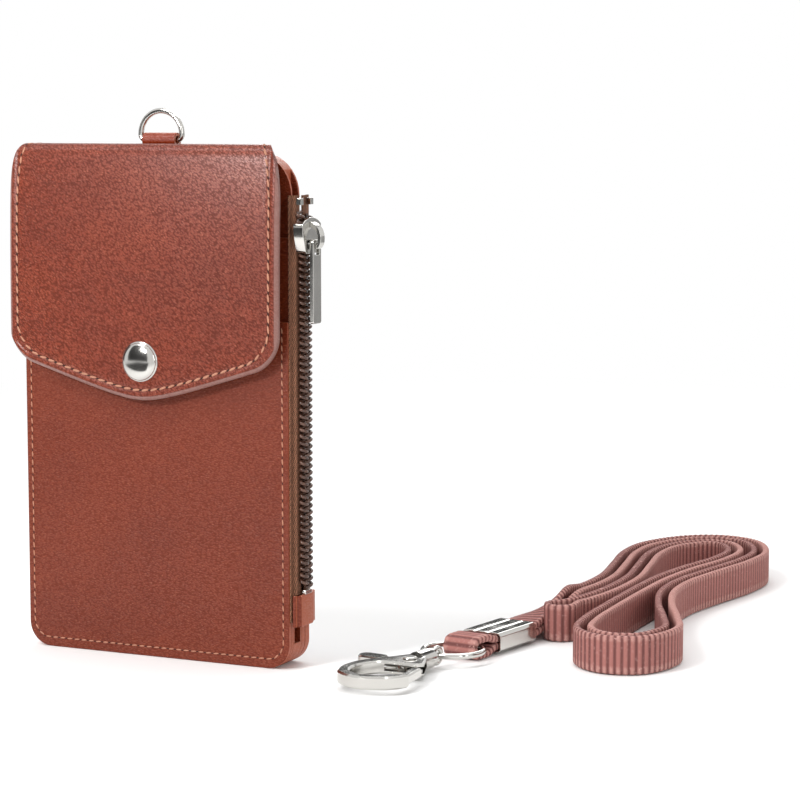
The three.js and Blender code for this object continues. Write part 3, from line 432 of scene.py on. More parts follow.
# A piece that is a copy of its node with rounded edges
def dress(name, node, width, owner, look="nickel", segments=3, angle=38, smoothAngle=40):
    piece = newPiece(name, nodes[node].data.copy())
    activate(piece)
    bpy.ops.object.mode_set(mode="EDIT")
    bpy.ops.mesh.select_all(action="SELECT")
    bpy.ops.mesh.remove_doubles(threshold=0.000002)
    bpy.ops.mesh.dissolve_limited(angle_limit=radians(0.6))
    bpy.ops.object.mode_set(mode="OBJECT")
    for layer in list(piece.data.uv_layers):
        piece.data.uv_layers.remove(layer)
    applyModifier(piece, "BEVEL", width=width * mm, segments=segments, limit_method="ANGLE",
                  angle_limit=radians(angle), use_clamp_overlap=True)
    smooth(piece, smoothAngle)
    applyModifier(piece, "WEIGHTED_NORMAL", weight=90, keep_sharp=True)
    settle(piece, owner, [node], look)


def settleAcross(piece, replaced=(), look="leather"):  # for a piece that spans two bodies: finish, place baked into the mesh, replaced nodes hidden; it is put on no body
    setFinish(piece, look)
    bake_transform(piece)
    if replaced:
        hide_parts(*replaced)


# Stitches: one thread and one dark needle-hole mark of painted shade, modelled once and laid along a row

def makeSeed(name, segments, rings, size):
    bpy.ops.mesh.primitive_uv_sphere_add(segments=segments, ring_count=rings, radius=1.0)
    seed = bpy.context.active_object
    seed.name = name
    bpy.ops.transform.resize(value=size)
    bpy.ops.object.transform_apply(location=True, rotation=True, scale=True)
    points = np.array([v.co for v in seed.data.vertices])
    faces = [list(p.vertices) for p in seed.data.polygons]
    bpy.data.objects.remove(seed)
    return points, faces


def scatter(name, seed, places):  # one mesh of a seed set at each place matrix
    points, faces = seed
    every, allFaces = [], []
    for place in places:
        start = len(every) * len(points)
        matrix = np.array(place)
        every.append(points @ matrix[:3, :3].T + matrix[:3, 3])
        allFaces += [[i + start for i in face] for face in faces]
    piece = meshPiece(name, np.concatenate(every), allFaces)
    smooth(piece, 60)
    return piece


def resample(path, pitch):  # places, ways and normals every pitch along a path of (point, normal)
    points = [Vector(p) for p, _ in path]
    normals = [Vector(n) for _, n in path]
    lengths = [0.0]
    for a, b in zip(points, points[1:]):
        lengths.append(lengths[-1] + (b - a).length)
    count = max(1, round(lengths[-1] / pitch))
    found = []
    k = 0
    for i in range(count):
        d = (i + 0.5) * lengths[-1] / count
        while k < len(points) - 2 and lengths[k + 1] < d:
            k += 1
        t = (d - lengths[k]) / max(lengths[k + 1] - lengths[k], 1e-9)
        found.append((points[k].lerp(points[k + 1], t), (points[k + 1] - points[k]).normalized(),
                      normals[k].lerp(normals[k + 1], t).normalized()))
    return found


def placeOf(at, way, normal, slant, lift):
    side = normal.cross(way).normalized()
    lean = way * cos(slant) + side * sin(slant)
    across = normal.cross(lean).normalized()
    at = at + normal * lift
    return Matrix(((lean.x, across.x, normal.x, at.x), (lean.y, across.y, normal.y, at.y),
                   (lean.z, across.z, normal.z, at.z), (0, 0, 0, 1)))


stitchKinds = {
    "bold": {"pitch": 2.5, "thread": (1.02, 0.31, 0.15), "holeShade": (0.46, 0.20, 0.07), "slant": 9,
             "holeSlant": 24},
    "fine": {"pitch": 2.1, "thread": (0.74, 0.20, 0.13), "holeShade": (0.34, 0.15, 0.05), "slant": 6,
             "holeSlant": 16},
}


def stitchRow(name, path, kind="bold", between=None):
    look = stitchKinds[kind]
    spots = resample(path, look["pitch"] * mm)
    thread = makeSeed("threadSeed", 8, 6, tuple(v * mm for v in look["thread"]))
    holeShade = makeSeed("holeShadeSeed", 8, 4, tuple(v * mm for v in look["holeShade"]))
    slant, holeSlant = radians(look["slant"]), radians(look["holeSlant"])
    threads = scatter(name + "Thread", thread, [placeOf(*spot, slant, 0.03 * mm) for spot in spots])
    half = look["pitch"] * mm / 2
    # the needle holes are dark marks of painted shade
    holeShades = scatter(name + "Holes", holeShade, [placeOf(at + way * half, way, normal, holeSlant, 0.0)
                                           for at, way, normal in spots[:-1]])
    for piece, finishName in ((threads, "thread"), (holeShades, "holeShade")):
        if between:
            settleAcross(piece, look=finishName)
        else:
            settle(piece, "holder", (), finishName)


def arcPath(corners, y, normalY):  # straight runs joined by round corners, in the XZ plane
    path = []
    for x, z, radius, startAngle, sweep in corners:
        for i in range(9 if radius > 0 else 1):
            a = radians(startAngle + sweep * i / 8)
            path.append((((x + radius * cos(a)) * mm, y * mm, (z + radius * sin(a)) * mm), (0, normalY, 0)))
    return path


# Leather body: every layer is a finer copy of its node with rounded, painted edges

bodyLayers = {
    "frontPanel": ("front_panel", 0.20), "backPanel": ("back_panel", 0.20),
    "frontSlotBand": ("front_slot_band", 0.22), "frontPocket": ("front_pocket_panel", 0.34),
    "backSlotBand": ("back_slot_band", 0.26), "windowFrame": ("window_frame", 0.34),
    "zipEndTab": ("zip_end_tab", 0.28),
}
for name, (node, width) in bodyLayers.items():
    dress(name, node, width, "holder", "bodyLeather")
print("leather layers:", len(bodyLayers))

body = {"left": -37.0, "right": 36.7, "bottomRadius": 6.0, "sideInset": 2.1, "bottomInset": 2.3,
        "leftTopRadius": 7.0, "rightTopRadius": 10.0, "frontSeamTop": 83.0}
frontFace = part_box("front_pocket_panel")[0].y / mm
(_, backFace, frameTop), (_, bandFace, bandTop), (_, backPanelFace, backTop) = (
    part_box(node)[1] / mm for node in ("window_frame", "back_slot_band", "back_panel"))


def uPath(left, right, top, bottom, radius, y, normalY):
    return arcPath([(left, top, 0, 0, 0), (left + radius, bottom + radius, radius, 180, 90),
                    (right - radius, bottom + radius, radius, 270, 90), (right, top, 0, 0, 0)], y, normalY)


inset = body["sideInset"]
seamLeft, seamRight = body["left"] + inset, body["right"] - inset
bottom, bottomRadius = body["bottomInset"], body["bottomRadius"]
stitchRow("pocketSeam", uPath(body["left"] + 1.5, body["right"] - 1.6, body["frontSeamTop"], bottom,
                              bottomRadius - 1.6, frontFace, -1), "fine")
stitchRow("frameSeam", uPath(seamLeft, seamRight, frameTop - 1.2, bottom, bottomRadius - inset, backFace, 1))
for name, z, y in (("frameTopSeam", frameTop, backFace), ("bandTopSeam", bandTop, bandFace)):
    ends = [(x, z - 2.2, 0, 0, 0) for x in (body["left"] + 3.4, body["right"] - 3.4)]
    stitchRow(name, arcPath(ends, y, 1))
for sideName, x in (("Left", seamLeft), ("Right", seamRight)):
    ends = [(x, z, 0, 0, 0) for z in (frameTop + 1.2, bandTop - 1.2)]
    stitchRow("bandSide" + sideName, arcPath(ends, bandFace, 1))
window = {"half": 27.5, "bottom": 11.0, "top": 88.0, "radius": 3.0, "away": 1.9}
start, corner = window["bottom"] - window["away"], window["radius"] + window["away"]
x, low, high = (window["half"] - window["radius"], window["bottom"] + window["radius"],
                window["top"] - window["radius"])
stitchRow("windowSeam", arcPath([
    (0, start, 0, 0, 0), (x, low, corner, 270, 90), (x, high, corner, 0, 90), (-x, high, corner, 90, 90),
    (-x, low, corner, 180, 90), (-0.01, start, 0, 0, 0)], backFace, 1))

# Upper part of the back panel, above the slot band, round its outer corners
leftRadius, rightRadius = body["leftTopRadius"], body["rightTopRadius"]
stitchRow("backTopSeam", arcPath([
    (seamLeft, bandTop + 1.2, 0, 0, 0),
    (body["left"] + leftRadius, backTop - leftRadius, leftRadius - inset, 180, -90),
    (body["right"] - rightRadius, backTop - rightRadius, rightRadius - inset, 90, -90),
    (seamRight, bandTop + 1.2, 0, 0, 0)], backPanelFace, 1))
print("seams done")
# Flap: a sheet that bends over the top edge; x runs across and s down from its sewn end

flap = {
    "left": -39.0, "right": 36.0, "outer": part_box("flap_outer")[0].y / mm, "rear": -2.75, "top": 126.0,
    "bend": 4.2, "leather": 1.45, "sideBottom": 75.0, "apex": 63.0, "neckHalf": 30.5, "corner": 20.0,
    "sideCorner": 6.5, "apexRound": 7.0, "stitchInset": 2.4, "lift": 0.21, "lean": 2.2, "leanLength": 15.0,
    "channel": 0.20, "roll": 0.72, "rollWidth": 1.15, "rimWidth": 1.1, "seamSink": 0.06, "shoulderSink": 0.08,
}
flapMiddle = (flap["left"] + flap["right"]) / 2
flapHalf = (flap["right"] - flap["left"]) / 2
bendStart = (flap["rear"] - flap["outer"]) - flap["bend"]
bendLength = flap["bend"] * pi / 2
acrossCrease = {"bodies": ("bridge", "flap"), "start": (0, -0.0068, 0.1262), "end": (0, -0.0096, 0.1206)}


def flapSurface(x, s, offset=0.0):  # point and outward normal on the sheet, offset outwards
    r = flap["bend"]
    if s < bendStart:
        y, z, ny, nz = flap["rear"] - s, flap["top"], 0.0, 1.0
    elif s < bendStart + bendLength:
        a = (s - bendStart) / r
        ny, nz = -sin(a), cos(a)
        y = flap["outer"] + r + r * ny
        z = flap["top"] - r + r * nz
    else:
        y, z, ny, nz = flap["outer"], flap["top"] - r - (s - bendStart - bendLength), -1.0, 0.0
    drop = max(0.0, s - bendStart)
    y += flap["lean"] * exp(-drop / flap["leanLength"]) * ease(drop / bendLength)  # the top leans back
    return Vector((x, y + ny * offset, z + nz * offset)), Vector((0, ny, nz))


def sAt(z):
    return bendStart + bendLength + flap["top"] - flap["bend"] - z


def roundOff(t):  # quarter circle from 0 to 1
    t = min(max(t, 0.0), 1.0)
    return 1 - sqrt(1 - t * t)


def flapEnds(x, inset):  # first and last s of the sheet at that x
    u = abs(x - flapMiddle)
    half = flapHalf - inset
    neck = flap["neckHalf"] - inset * 0.4
    start = flap["corner"] * roundOff((u - neck) / (half - neck))
    slope = (flap["sideBottom"] - flap["apex"]) / flapHalf
    soft = flap["apexRound"]
    rise = slope * (sqrt(u * u + soft * soft) - soft * 0.55)
    end = flap["apex"] + inset * sqrt(1 + slope * slope) + rise
    c = flap["sideCorner"]
    end += c * roundOff((u - (half - c)) / c)
    return start, sAt(end)


def flapSheet(name, inset, offset, thickness, columns, rows, groove):
    bpy.ops.mesh.primitive_grid_add(x_subdivisions=columns, y_subdivisions=rows, size=2.0)
    piece = bpy.context.active_object
    piece.name = name
    half = flapHalf - inset
    rim = piece.data.attributes.new("rim", "FLOAT", "POINT")
    spots = []
    for v in piece.data.vertices:
        u = sin(v.co.x * pi / 2)
        x = flapMiddle + u * half
        start, end = flapEnds(x, inset)
        share = 0.5 - 0.5 * v.co.y
        share = share - 0.12 * sin(share * 2 * pi)  # rows closer together at both ends
        s = start + (end - start) * share
        edge = min(half - abs(x - flapMiddle), (end - s) * 0.95)
        push = offset
        if groove:
            push -= flap["channel"] * exp(-((edge - flap["stitchInset"]) / 0.6) ** 2)
            push -= flap["roll"] * max(0.0, 1 - edge / flap["rollWidth"]) ** 2
            rim.data[v.index].value = max(0.0, 1 - edge / flap["rimWidth"])
            middle = sin(min(1.0, s / sAt(flap["apex"])) * pi) * cos(u * pi / 2)
            push += flap["lift"] * middle
        point, _ = flapSurface(x, s, push)
        v.co = point * mm
        spots.append((x, s))
    applyModifier(piece, "SOLIDIFY", thickness=thickness * mm, offset=-1.0)
    for v, (x, s) in zip(piece.data.vertices[len(spots):], spots):  # the inner face stays even
        v.co = flapSurface(x, s, offset - thickness)[0] * mm
    return faceOut(piece, 50)


flapLeather = flapSheet("flapLeather", 0.0, 0.0, flap["leather"], 110, 110, True)
settleAcross(flapLeather, ["flap_outer", "flap_bridge"])
flapLining = flapSheet("flapLining", 1.3, -1.25, 0.46, 60, 60, False)
settleAcross(flapLining, ["flap_lining"], "lining")


def flapSeam():
    inset, sink = flap["stitchInset"], -flap["seamSink"]
    half = flapHalf - inset
    sideTop = flapEnds(flapMiddle - half * 0.995, inset)[0] + 0.5

    def side(sign):  # round the shoulder and down one side
        path = []
        for x in flapMiddle + sign * np.linspace(flap["neckHalf"], half * 0.998, 24):
            path.append(flapSurface(x, flapEnds(x, inset)[0], -flap["shoulderSink"]))
        x = flapMiddle + sign * half
        return path + [flapSurface(x, s, sink) for s in np.linspace(sideTop, flapEnds(x, inset)[1], 30)[1:]]

    foot = []
    for i in range(1, 200):
        x = flapMiddle + half * sin((i / 100 - 1) * pi / 2)
        foot.append(flapSurface(x, flapEnds(x, inset)[1], sink))
    return [(point * mm, normal) for point, normal in side(-1) + foot + side(1)[::-1]]


stitchRow("flapSeam", flapSeam(), "bold", acrossCrease)

# Sewn end of the flap: up behind the front panel, then forward under the bridge
rootLine = [(-2.12, 117.0), (-2.12, 121.0), (-2.14, 123.4), (-2.3, 124.2), (-2.75, 124.62), (-3.4, 124.7),
            (-5.2, 124.7)]
points = [(x * mm, y * mm, z * mm) for y, z in rootLine for x in range(-30, 31, 10)]
corners = [r * 7 + c for r in range(len(rootLine) - 1) for c in range(6)]
faces = [(k, k + 1, k + 8, k + 7) for k in corners]
flapRoot = meshPiece("flapRoot", points, faces)
applyModifier(flapRoot, "SUBSURF", levels=2, render_levels=2)
applyModifier(flapRoot, "SOLIDIFY", thickness=0.55 * mm, offset=0.0)
smooth(flapRoot, 50)
settleAcross(flapRoot, ["flap_root"])
print("flap done")
# Hardware helpers

def wirePiece(name, points, radius, closed=False, around=3):
    curve = bpy.data.curves.new(name, "CURVE")
    curve.dimensions = "3D"
    curve.bevel_depth = radius
    curve.bevel_resolution = around
    curve.use_fill_caps = not closed
    spline = curve.splines.new("POLY")
    spline.points.add(len(points) - 1)
    for point, place in zip(spline.points, points):
        point.co = (*place, 1)
    spline.use_cyclic_u = closed
    activate(newPiece(name, curve))
    bpy.ops.object.convert(target="MESH")
    return faceOut(bpy.context.active_object, 60, 0.001 * mm)


def spunPiece(name, profile, place, steps=72):  # profile of (radius, height) in millimetres
    piece = meshPiece(name, [(r * mm, 0, h * mm) for r, h in profile], [],
                      [(i, i + 1) for i in range(len(profile) - 1)])
    applyModifier(piece, "SCREW", angle=2 * pi, steps=steps, render_steps=steps, axis="Z",
                  use_merge_vertices=True, merge_threshold=0.002 * mm)
    piece.data.transform(place)
    return faceOut(piece, 40)


# Snap: a polished dome with a rolled rim on the flap, the socket and stud inside

snap = {"x": -1.5, "z": 73.5, "radius": 4.95, "rise": 1.55, "rim": 0.35, "sink": 0.25}
rise, rim = snap["rise"], snap["rim"]
crown = snap["radius"] - rim


def onSnap(y, facing):  # where a spun piece stands on the snap's axis, facing the front with -1
    turn = Matrix.Rotation(-facing * pi / 2, 4, "X")
    return Matrix.Translation((snap["x"] * mm, y, snap["z"] * mm)) @ turn


dome = [(0.0, rise)]
for i in range(1, 13):
    a = i / 12 * pi / 2
    dome.append((crown * sin(a), rim + (rise - rim) * cos(a)))
for i in range(1, 9):
    a = pi / 2 - i / 8 * pi
    dome.append((crown + rim * cos(a), rim * sin(a) * 0.8))
dome += [(crown, -snap["sink"]), (0.0, -snap["sink"])]
settle(spunPiece("snapCap", dome, onSnap(flap["outer"] * mm, -1)), "flap", ["snap_cap"])

# Radius and height away from the leather: a rolled ring with a bore, a waisted button, a flat washer
snapInside = {
    "snapSocket": ("flap", "snap_socket", 1, [
        (0, 0.30), (1.9, 0.30), (2.2, 0.36), (2.3, 0.55), (2.3, 1.25), (2.42, 1.44), (2.7, 1.5), (3.3, 1.5),
        (3.75, 1.42), (4.15, 1.15), (4.36, 0.7), (4.4, 0.25), (4.34, 0.06), (4.2, 0.0), (0, 0.0)]),
    "snapStud": ("holder", "snap_stud", -1, [
        (0, 1.9), (1.0, 1.88), (1.5, 1.78), (1.82, 1.56), (1.9, 1.3), (1.82, 1.05), (1.66, 0.85),
        (1.66, 0.68), (1.8, 0.56), (2.2, 0.5), (3.2, 0.48), (3.8, 0.38), (3.98, 0.2), (3.9, 0.03),
        (3.7, 0.0), (1.5, 0.0), (1.5, -1.14), (0, -1.14)]),
    "snapWasher": ("holder", "snap_washer", -1, [
        (0, 0.2), (3.2, 0.2), (3.38, 0.14), (3.38, 0.06), (3.2, 0.0), (0, 0.0)]),
}
for name, (owner, node, facing, profile) in snapInside.items():
    low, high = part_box(node)
    seat = low.y if facing > 0 else (frontFace * mm if name == "snapStud" else high.y)
    settle(spunPiece(name, profile, onSnap(seat, facing), 56), owner, [node])

# D-ring and the leather loop that holds it
dRing = {"y": -0.66, "bar": 126.9, "half": 5.7, "corner": 1.3, "height": 7.0, "wire": 0.7}


def ringPoints():
    half, corner, top = dRing["half"], dRing["corner"], dRing["height"] - dRing["corner"]
    flat = [(x, 0) for x in np.linspace(-half + corner, half - corner, 12)]
    bend = [(half - corner + corner * sin(a), corner - corner * cos(a))
            for a in np.linspace(0.2, pi / 2, 8)]
    arch = [(half * cos(a), corner + top * sin(a)) for a in np.linspace(0.06, pi - 0.06, 56)]
    whole = flat + bend + arch + [(-x, z) for x, z in bend[::-1]]
    return [(x * mm, dRing["y"] * mm, (dRing["bar"] + z) * mm) for x, z in whole]


settle(wirePiece("dRing", ringPoints(), dRing["wire"] * mm, True, 5), "ring", ["d_ring"])
dress("ringLoop", "ring_loop", 0.18, "holder", "smoothLeather")

# Zip: woven tapes, two coiled rows that part at the slider, slider, crown, puller and stops
for name, node in (("zipTapeFront", "zip_tape_front"), ("zipTapeBack", "zip_tape_back")):
    dress(name, node, 0.05, "holder", "tape", 2)

coil = {"pitch": 1.6, "wire": 0.26, "yarn": 0.40, "reach": 2.5, "lap": 0.35, "height": 1.3, "spread": 1.3,
        "bottom": 19.0, "top": 111.0, "base": 38.56, "y": -1.06, "partFrom": 101.59, "partTo": 106.32,
        "steps": 16}


def coilPoints(front):
    half = (coil["reach"] + coil["lap"]) / 2 - coil["wire"]
    turns = int((coil["top"] - coil["bottom"] - coil["pitch"]) / coil["pitch"])
    side = -1 if front else 1
    points = []
    for i in range(turns * coil["steps"] + 1):
        a = i / coil["steps"] * 2 * pi
        z = coil["bottom"] + coil["pitch"] * ((1.0 if front else 0.5) + i / coil["steps"])
        parted = coil["spread"] * ease((z - coil["partFrom"]) / (coil["partTo"] - coil["partFrom"]))
        across = half * (cos(a) - 1) - coil["wire"] + coil["lap"] - parted
        x = coil["base"] + coil["height"] / 2 * (1 + sin(a))
        points.append((x * mm, (coil["y"] - side * across) * mm, z * mm))
    return points


for name, node in (("coilFront", "zip_coil_front"), ("coilBack", "zip_coil_back")):
    yarn = wirePiece(name, coilPoints(name == "coilFront"), coil["yarn"] * mm, False, 2)
    settle(yarn, "holder", [node], "coil")

zipHardware = {
    "zipSlider": ("zip_slider", 0.16, "slider"), "sliderCrown": ("zip_slider_crown", 0.14, "slider"),
    "zipPuller": ("zip_puller", 0.22, "puller"), "topStopFront": ("zip_top_stop_front", 0.10, "holder"),
    "topStopBack": ("zip_top_stop_back", 0.10, "holder"), "bottomStop": ("zip_bottom_stop", 0.12, "holder"),
}
for name, (node, width, owner) in zipHardware.items():
    dress(name, node, width, owner)

# Window sheet, insert and card
dress("windowSheet", "window_sheet", 0.04, "holder", "film", 1)
dress("identityInsert", "identity_insert", 0.08, "insert", "insert", 2)
dress("slotCard", "slot_card", 0.08, "card", "card", 2)
print("hardware, zip and cards done")
# Lanyard: strap of two strands side by side, flat in the crimp and then standing on edge

strap = {
    "width": 9.5, "thickness": 1.8, "corner": 0.62, "pitch": 3.4, "inside": 0.05, "clear": 0.05,
    "closing": 3.4, "openingLength": 6.0, "step": 0.4, "rib": 1.6, "ribDepth": 0.07, "beadDepth": 0.13,
    "turnFrom": 7.0, "turnTo": 42.0, "axisHeight": 2.95,
}
hook = {"tip": (62.0, -22.0), "turn": 81.0, "strapStart": 65.7}
strapRoute = [
    (77.6, 71), (79.8, 85), (79.4, 100), (76, 118), (72.5, 136), (72.8, 152), (79.5, 166), (89.5, 171),
    (99.5, 166), (105.8, 152), (106, 136), (103, 118), (100.6, 100), (101.6, 84), (106.5, 68), (113, 53),
    (117.5, 40), (114.5, 28), (106, 25), (98.5, 31), (95.8, 44), (94.8, 60), (94, 80), (93.8, 100),
    (95.5, 118), (98.8, 136), (98.8, 150), (94.5, 159.5), (89.3, 162.6), (84.2, 159.5), (79.8, 150),
    (79.6, 136), (83, 118), (86.4, 100), (87, 82), (85.5, 68), (83.6, 60),
]
heading = Vector((cos(radians(hook["turn"])), sin(radians(hook["turn"])), 0))
acrossHook = Vector((-heading.y, heading.x, 0))


def along(distance, side=0.0, height=0.0):  # a place on the hook's axis, in millimetres
    return Vector((*hook["tip"], 0)) + heading * distance + acrossHook * side + Vector((0, 0, height))


def routeCurve():  # the pair's middle line, a smooth curve through the route's points
    knots = [along(hook["strapStart"] + further) for further in (0, 6, 13)]
    knots += [Vector((x, y, 0)) for x, y in strapRoute]
    knots = [knots[0] * 2 - knots[1]] + knots + [knots[-1] * 2 - knots[-2]]
    line = []
    for a, b, c, d in zip(knots, knots[1:], knots[2:], knots[3:]):
        for i in range(60):
            t = i / 60
            line.append(0.5 * (2 * b + (c - a) * t + (2 * a - 5 * b + 4 * c - d) * t * t
                               + (3 * b - a - 3 * c + d) * t ** 3))
    line.append(knots[-2])
    return np.array([tuple(p) for p in line])


line = routeCurve()
lineLengths = np.concatenate([[0], np.cumsum(np.linalg.norm(np.diff(line, axis=0), axis=1))])
pairLength = lineLengths[-1]
up = Vector((0, 0, 1))


def onLine(distance):
    return Vector([np.interp(distance, lineLengths, line[:, k]) for k in range(3)])


def strandPoint(distance, side):  # middle of a strand, and the two ways of its section
    middle = onLine(distance)
    tangent = (onLine(min(distance + 0.5, pairLength)) - onLine(max(distance - 0.5, 0))).normalized()
    sideways = up.cross(tangent).normalized()
    turn = ease((distance - strap["turnFrom"]) / (strap["turnTo"] - strap["turnFrom"]))
    angle = turn * pi / 2
    flat = strap["inside"] + strap["thickness"] / 2
    spread = flat + (strap["pitch"] / 2 - flat) * turn
    away = up * cos(angle) + sideways * sin(angle)
    broad = up * sin(angle) - sideways * cos(angle)
    under = strap["axisHeight"] - strap["inside"] - strap["thickness"]
    under += (strap["clear"] - under) * turn
    middle.z = strap["width"] / 2 * sin(angle) + under
    middle.z += (spread + strap["thickness"] / 2) * cos(angle)
    return middle + away * (side * spread), away * side, broad


def strandPath():
    opening, closing, step = strap["openingLength"], strap["closing"], strap["step"]
    straight = pairLength - opening + closing + 0.5
    distances = np.linspace(0, straight, round(straight / step) + 1)
    out, back = ([strandPoint(d, side) for d in distances] for side in (1, -1))
    end, way = onLine(straight), (onLine(straight) - onLine(straight - 0.5)).normalized()
    end.z = strap["width"] / 2 + strap["clear"]
    side, half = up.cross(way), strap["pitch"] / 2
    bulb = []  # the two strands open out to a round end, seen from above
    count = round(opening / step)
    for i in range(1, count):
        t = i / count
        bulb.append((opening * t, half + (closing - half) * ease(t)))
    count = round(pi * closing / step / 2)
    for i in range(count + 1):
        a = pi / 2 * (1 - i / count)
        bulb.append((opening + closing * cos(a), closing * sin(a)))
    bulb += [(a, -b) for a, b in bulb[::-1][1:]]
    roundEnd = []
    for i, (a, b) in enumerate(bulb):
        before = bulb[i - 1] if i else (0, half)
        after = bulb[i + 1] if i + 1 < len(bulb) else (0, -half)
        outwards = (side * (after[0] - before[0]) - way * (after[1] - before[1])).normalized()
        roundEnd.append((end + way * a + side * b, outwards, up))
    return out + roundEnd + back[::-1]


def bandSection(travelled, corner, ribs):  # section points (broad, away), thinner between two ribs
    points = []
    dip = ribs * (cos(2 * pi * travelled / strap["rib"]) * 0.5 - 0.5)
    w, t = strap["width"] / 2 + strap["beadDepth"] * dip, strap["thickness"] / 2 + strap["ribDepth"] * dip
    for cx, cy, start in ((1, -1, -90), (1, 1, 0), (-1, 1, 90), (-1, -1, 180)):
        for k in range(4):
            a = radians(start + k * 30)
            points.append((cx * (w - corner) + corner * cos(a), cy * (t - corner) + corner * sin(a)))
        if cx == cy:  # after the second and the fourth corner comes a broad face
            for share in (0.25, 0.5, 0.75):
                points.append((cx * (w - corner) * (1 - 2 * share), cy * t))
    return points


def bandPiece(name, stations, corner, ribs=1.0):  # a woven band through its stations, with its own map
    rows, travelled, marks = [], 0.0, []
    for i, (at, away, broad) in enumerate(stations):
        if i:
            travelled += (at - stations[i - 1][0]).length
        marks.append(travelled)
        rows.append([(at + broad * b + away * a) * mm for b, a in bandSection(travelled, corner, ribs)])
    sides = len(rows[0])
    last = (len(rows) - 1) * sides
    faces = [(r + c, r + (c + 1) % sides, r + sides + (c + 1) % sides, r + sides + c)
             for r in range(0, last, sides) for c in range(sides)]
    faces += [tuple(range(sides))[::-1], tuple(range(last, last + sides))]
    piece = meshPiece(name, [p for row in rows for p in row], faces)
    section = bandSection(0, corner, 0)
    edge = [0.0]
    for a, b in zip(section, section[1:] + section[:1]):
        edge.append(edge[-1] + dist(a, b))
    first = strap["thickness"] / 2 / edge[-1]  # u is 0 and 0.5 at the middles of the two narrow edges
    u = [e / edge[-1] - first for e in edge]
    layer = piece.data.uv_layers.new(name="band")
    for polygon in piece.data.polygons[:-2]:
        column = polygon.vertices[0] % sides
        for loop, extra in zip(polygon.loop_indices, (0, 1, 1, 0)):
            row = piece.data.loops[loop].vertex_index // sides
            layer.data[loop].uv = (u[column + extra] + 1.0, marks[row] * mm)
    return faceOut(piece, 80)


strands = strandPath()
strapPiece = bandPiece("strapBand", strands, strap["corner"])
settle(strapPiece, "holder", ["strap"], "webbing")
strapLength = sum((b[0] - a[0]).length for a, b in zip(strands, strands[1:]))
print("strap:", round(strapLength), "mm,", len(strapPiece.data.polygons), "faces")

# End loop of the same webbing, folded round the ring with both legs in the crimp
endLoop = {"middle": 1.95, "leg": 0.95, "bight": 47.6, "wide": 51.4, "narrow": 55.4, "legEnd": 65.4,
           "corner": 0.6, "ribs": 0.8}


def endLoopPath():
    middle, leg, bight, wide, narrow = (endLoop[key] for key in ("middle", "leg", "bight", "wide", "narrow"))
    half = [(a, leg) for a in np.linspace(endLoop["legEnd"], narrow, 26)]
    for i in range(1, 11):
        t = i / 10
        half.append((narrow + (wide - narrow) * t, leg + (middle - leg) * ease(t)))
    half += [(a, middle) for a in np.linspace(wide, bight, 10)[1:]]
    for a in np.linspace(pi / 2, pi, 9)[1:]:
        half.append((bight + middle * cos(a), middle * sin(a)))
    flat = half + [(a, -z) for a, z in half[::-1][1:]]
    stations = []
    for i, (a, z) in enumerate(flat):
        before, after = flat[max(i - 1, 0)], flat[min(i + 1, len(flat) - 1)]
        way = Vector((after[0] - before[0], after[1] - before[1])).normalized()
        away = heading * way.y + Vector((0, 0, -way.x))
        stations.append((along(a, 0, strap["axisHeight"] + z), away, acrossHook))
    return stations


settle(bandPiece("endLoopBand", endLoopPath(), endLoop["corner"], endLoop["ribs"]),
       "holder", ["strap_end_loop"], "webbing")

# Metal of the lanyard
keyRing = {"middle": 42.4, "radius": 7.4, "wire": 0.75, "gap": 1.5}
swivelEye = {"middle": 35.0, "radius": 1.8, "wire": 0.68}
collar = {"stem": 1.05, "stemEnd": 28.4, "from": 31.8, "to": 33.0, "radius": 2.2, "rim": 0.3}
axisHeight = strap["axisHeight"]
dress("strapCrimp", "crimp", 0.22, "holder")
gap = radians(keyRing["gap"])
ringWay = [pi / 2 + gap + (2 * pi - 2 * gap) * i / 96 for i in range(97)]
middle, radius = keyRing["middle"], keyRing["radius"]
ringPath = [along(middle + radius * cos(a), radius * sin(a), axisHeight) * mm for a in ringWay]
settle(wirePiece("keyRing", ringPath, keyRing["wire"] * mm, False, 5), "link", ["wire_ring"])
middle, radius = swivelEye["middle"], swivelEye["radius"]
eyePath = [along(middle + radius * cos(a), 0, axisHeight + radius * sin(a)) * mm
           for a in np.linspace(0, 2 * pi, 49)[:-1]]
eye = wirePiece("swivelEye", eyePath, swivelEye["wire"] * mm, True, 5)
alongAxis = Matrix.Translation(along(0, 0, axisHeight) * mm) @ Matrix.Rotation(
    radians(hook["turn"]), 4, "Z") @ Matrix.Rotation(pi / 2, 4, "Y")
stem, stemEnd, low, high, wide, rim = collar.values()
collarPiece = spunPiece("swivelCollar", [
    (0, stemEnd), (stem, stemEnd), (stem, low), (wide - rim, low), (wide, low + rim),
    (wide, high - rim * 1.6), (wide - rim, high - rim * 0.6), (1.2, high), (0.9, high + 0.4),
    (0, high + 0.4)], alongAxis, 48)
activate(eye)
collarPiece.select_set(True)
bpy.ops.object.join()
settle(eye, "swivel", ["swivel_eye"])
hookPieces = {"hookBody": ("hook_body", 0.22, "hook"), "hookGate": ("gate", 0.2, "hook_gate"),
              "gateRivet": ("gate_rivet", 0.14, "hook"), "gateSpring": ("gate_spring", 0.02, "hook")}
for name, (node, width, owner) in hookPieces.items():
    dress(name, node, width, owner, angle=30, smoothAngle=50)

tuple(along(hook["strapStart"], 0, strap["axisHeight"]) * mm)
[tuple(at * mm) for at, _, _ in strands[::6]] + [tuple(strands[-1][0] * mm)]
print("lanyard done")
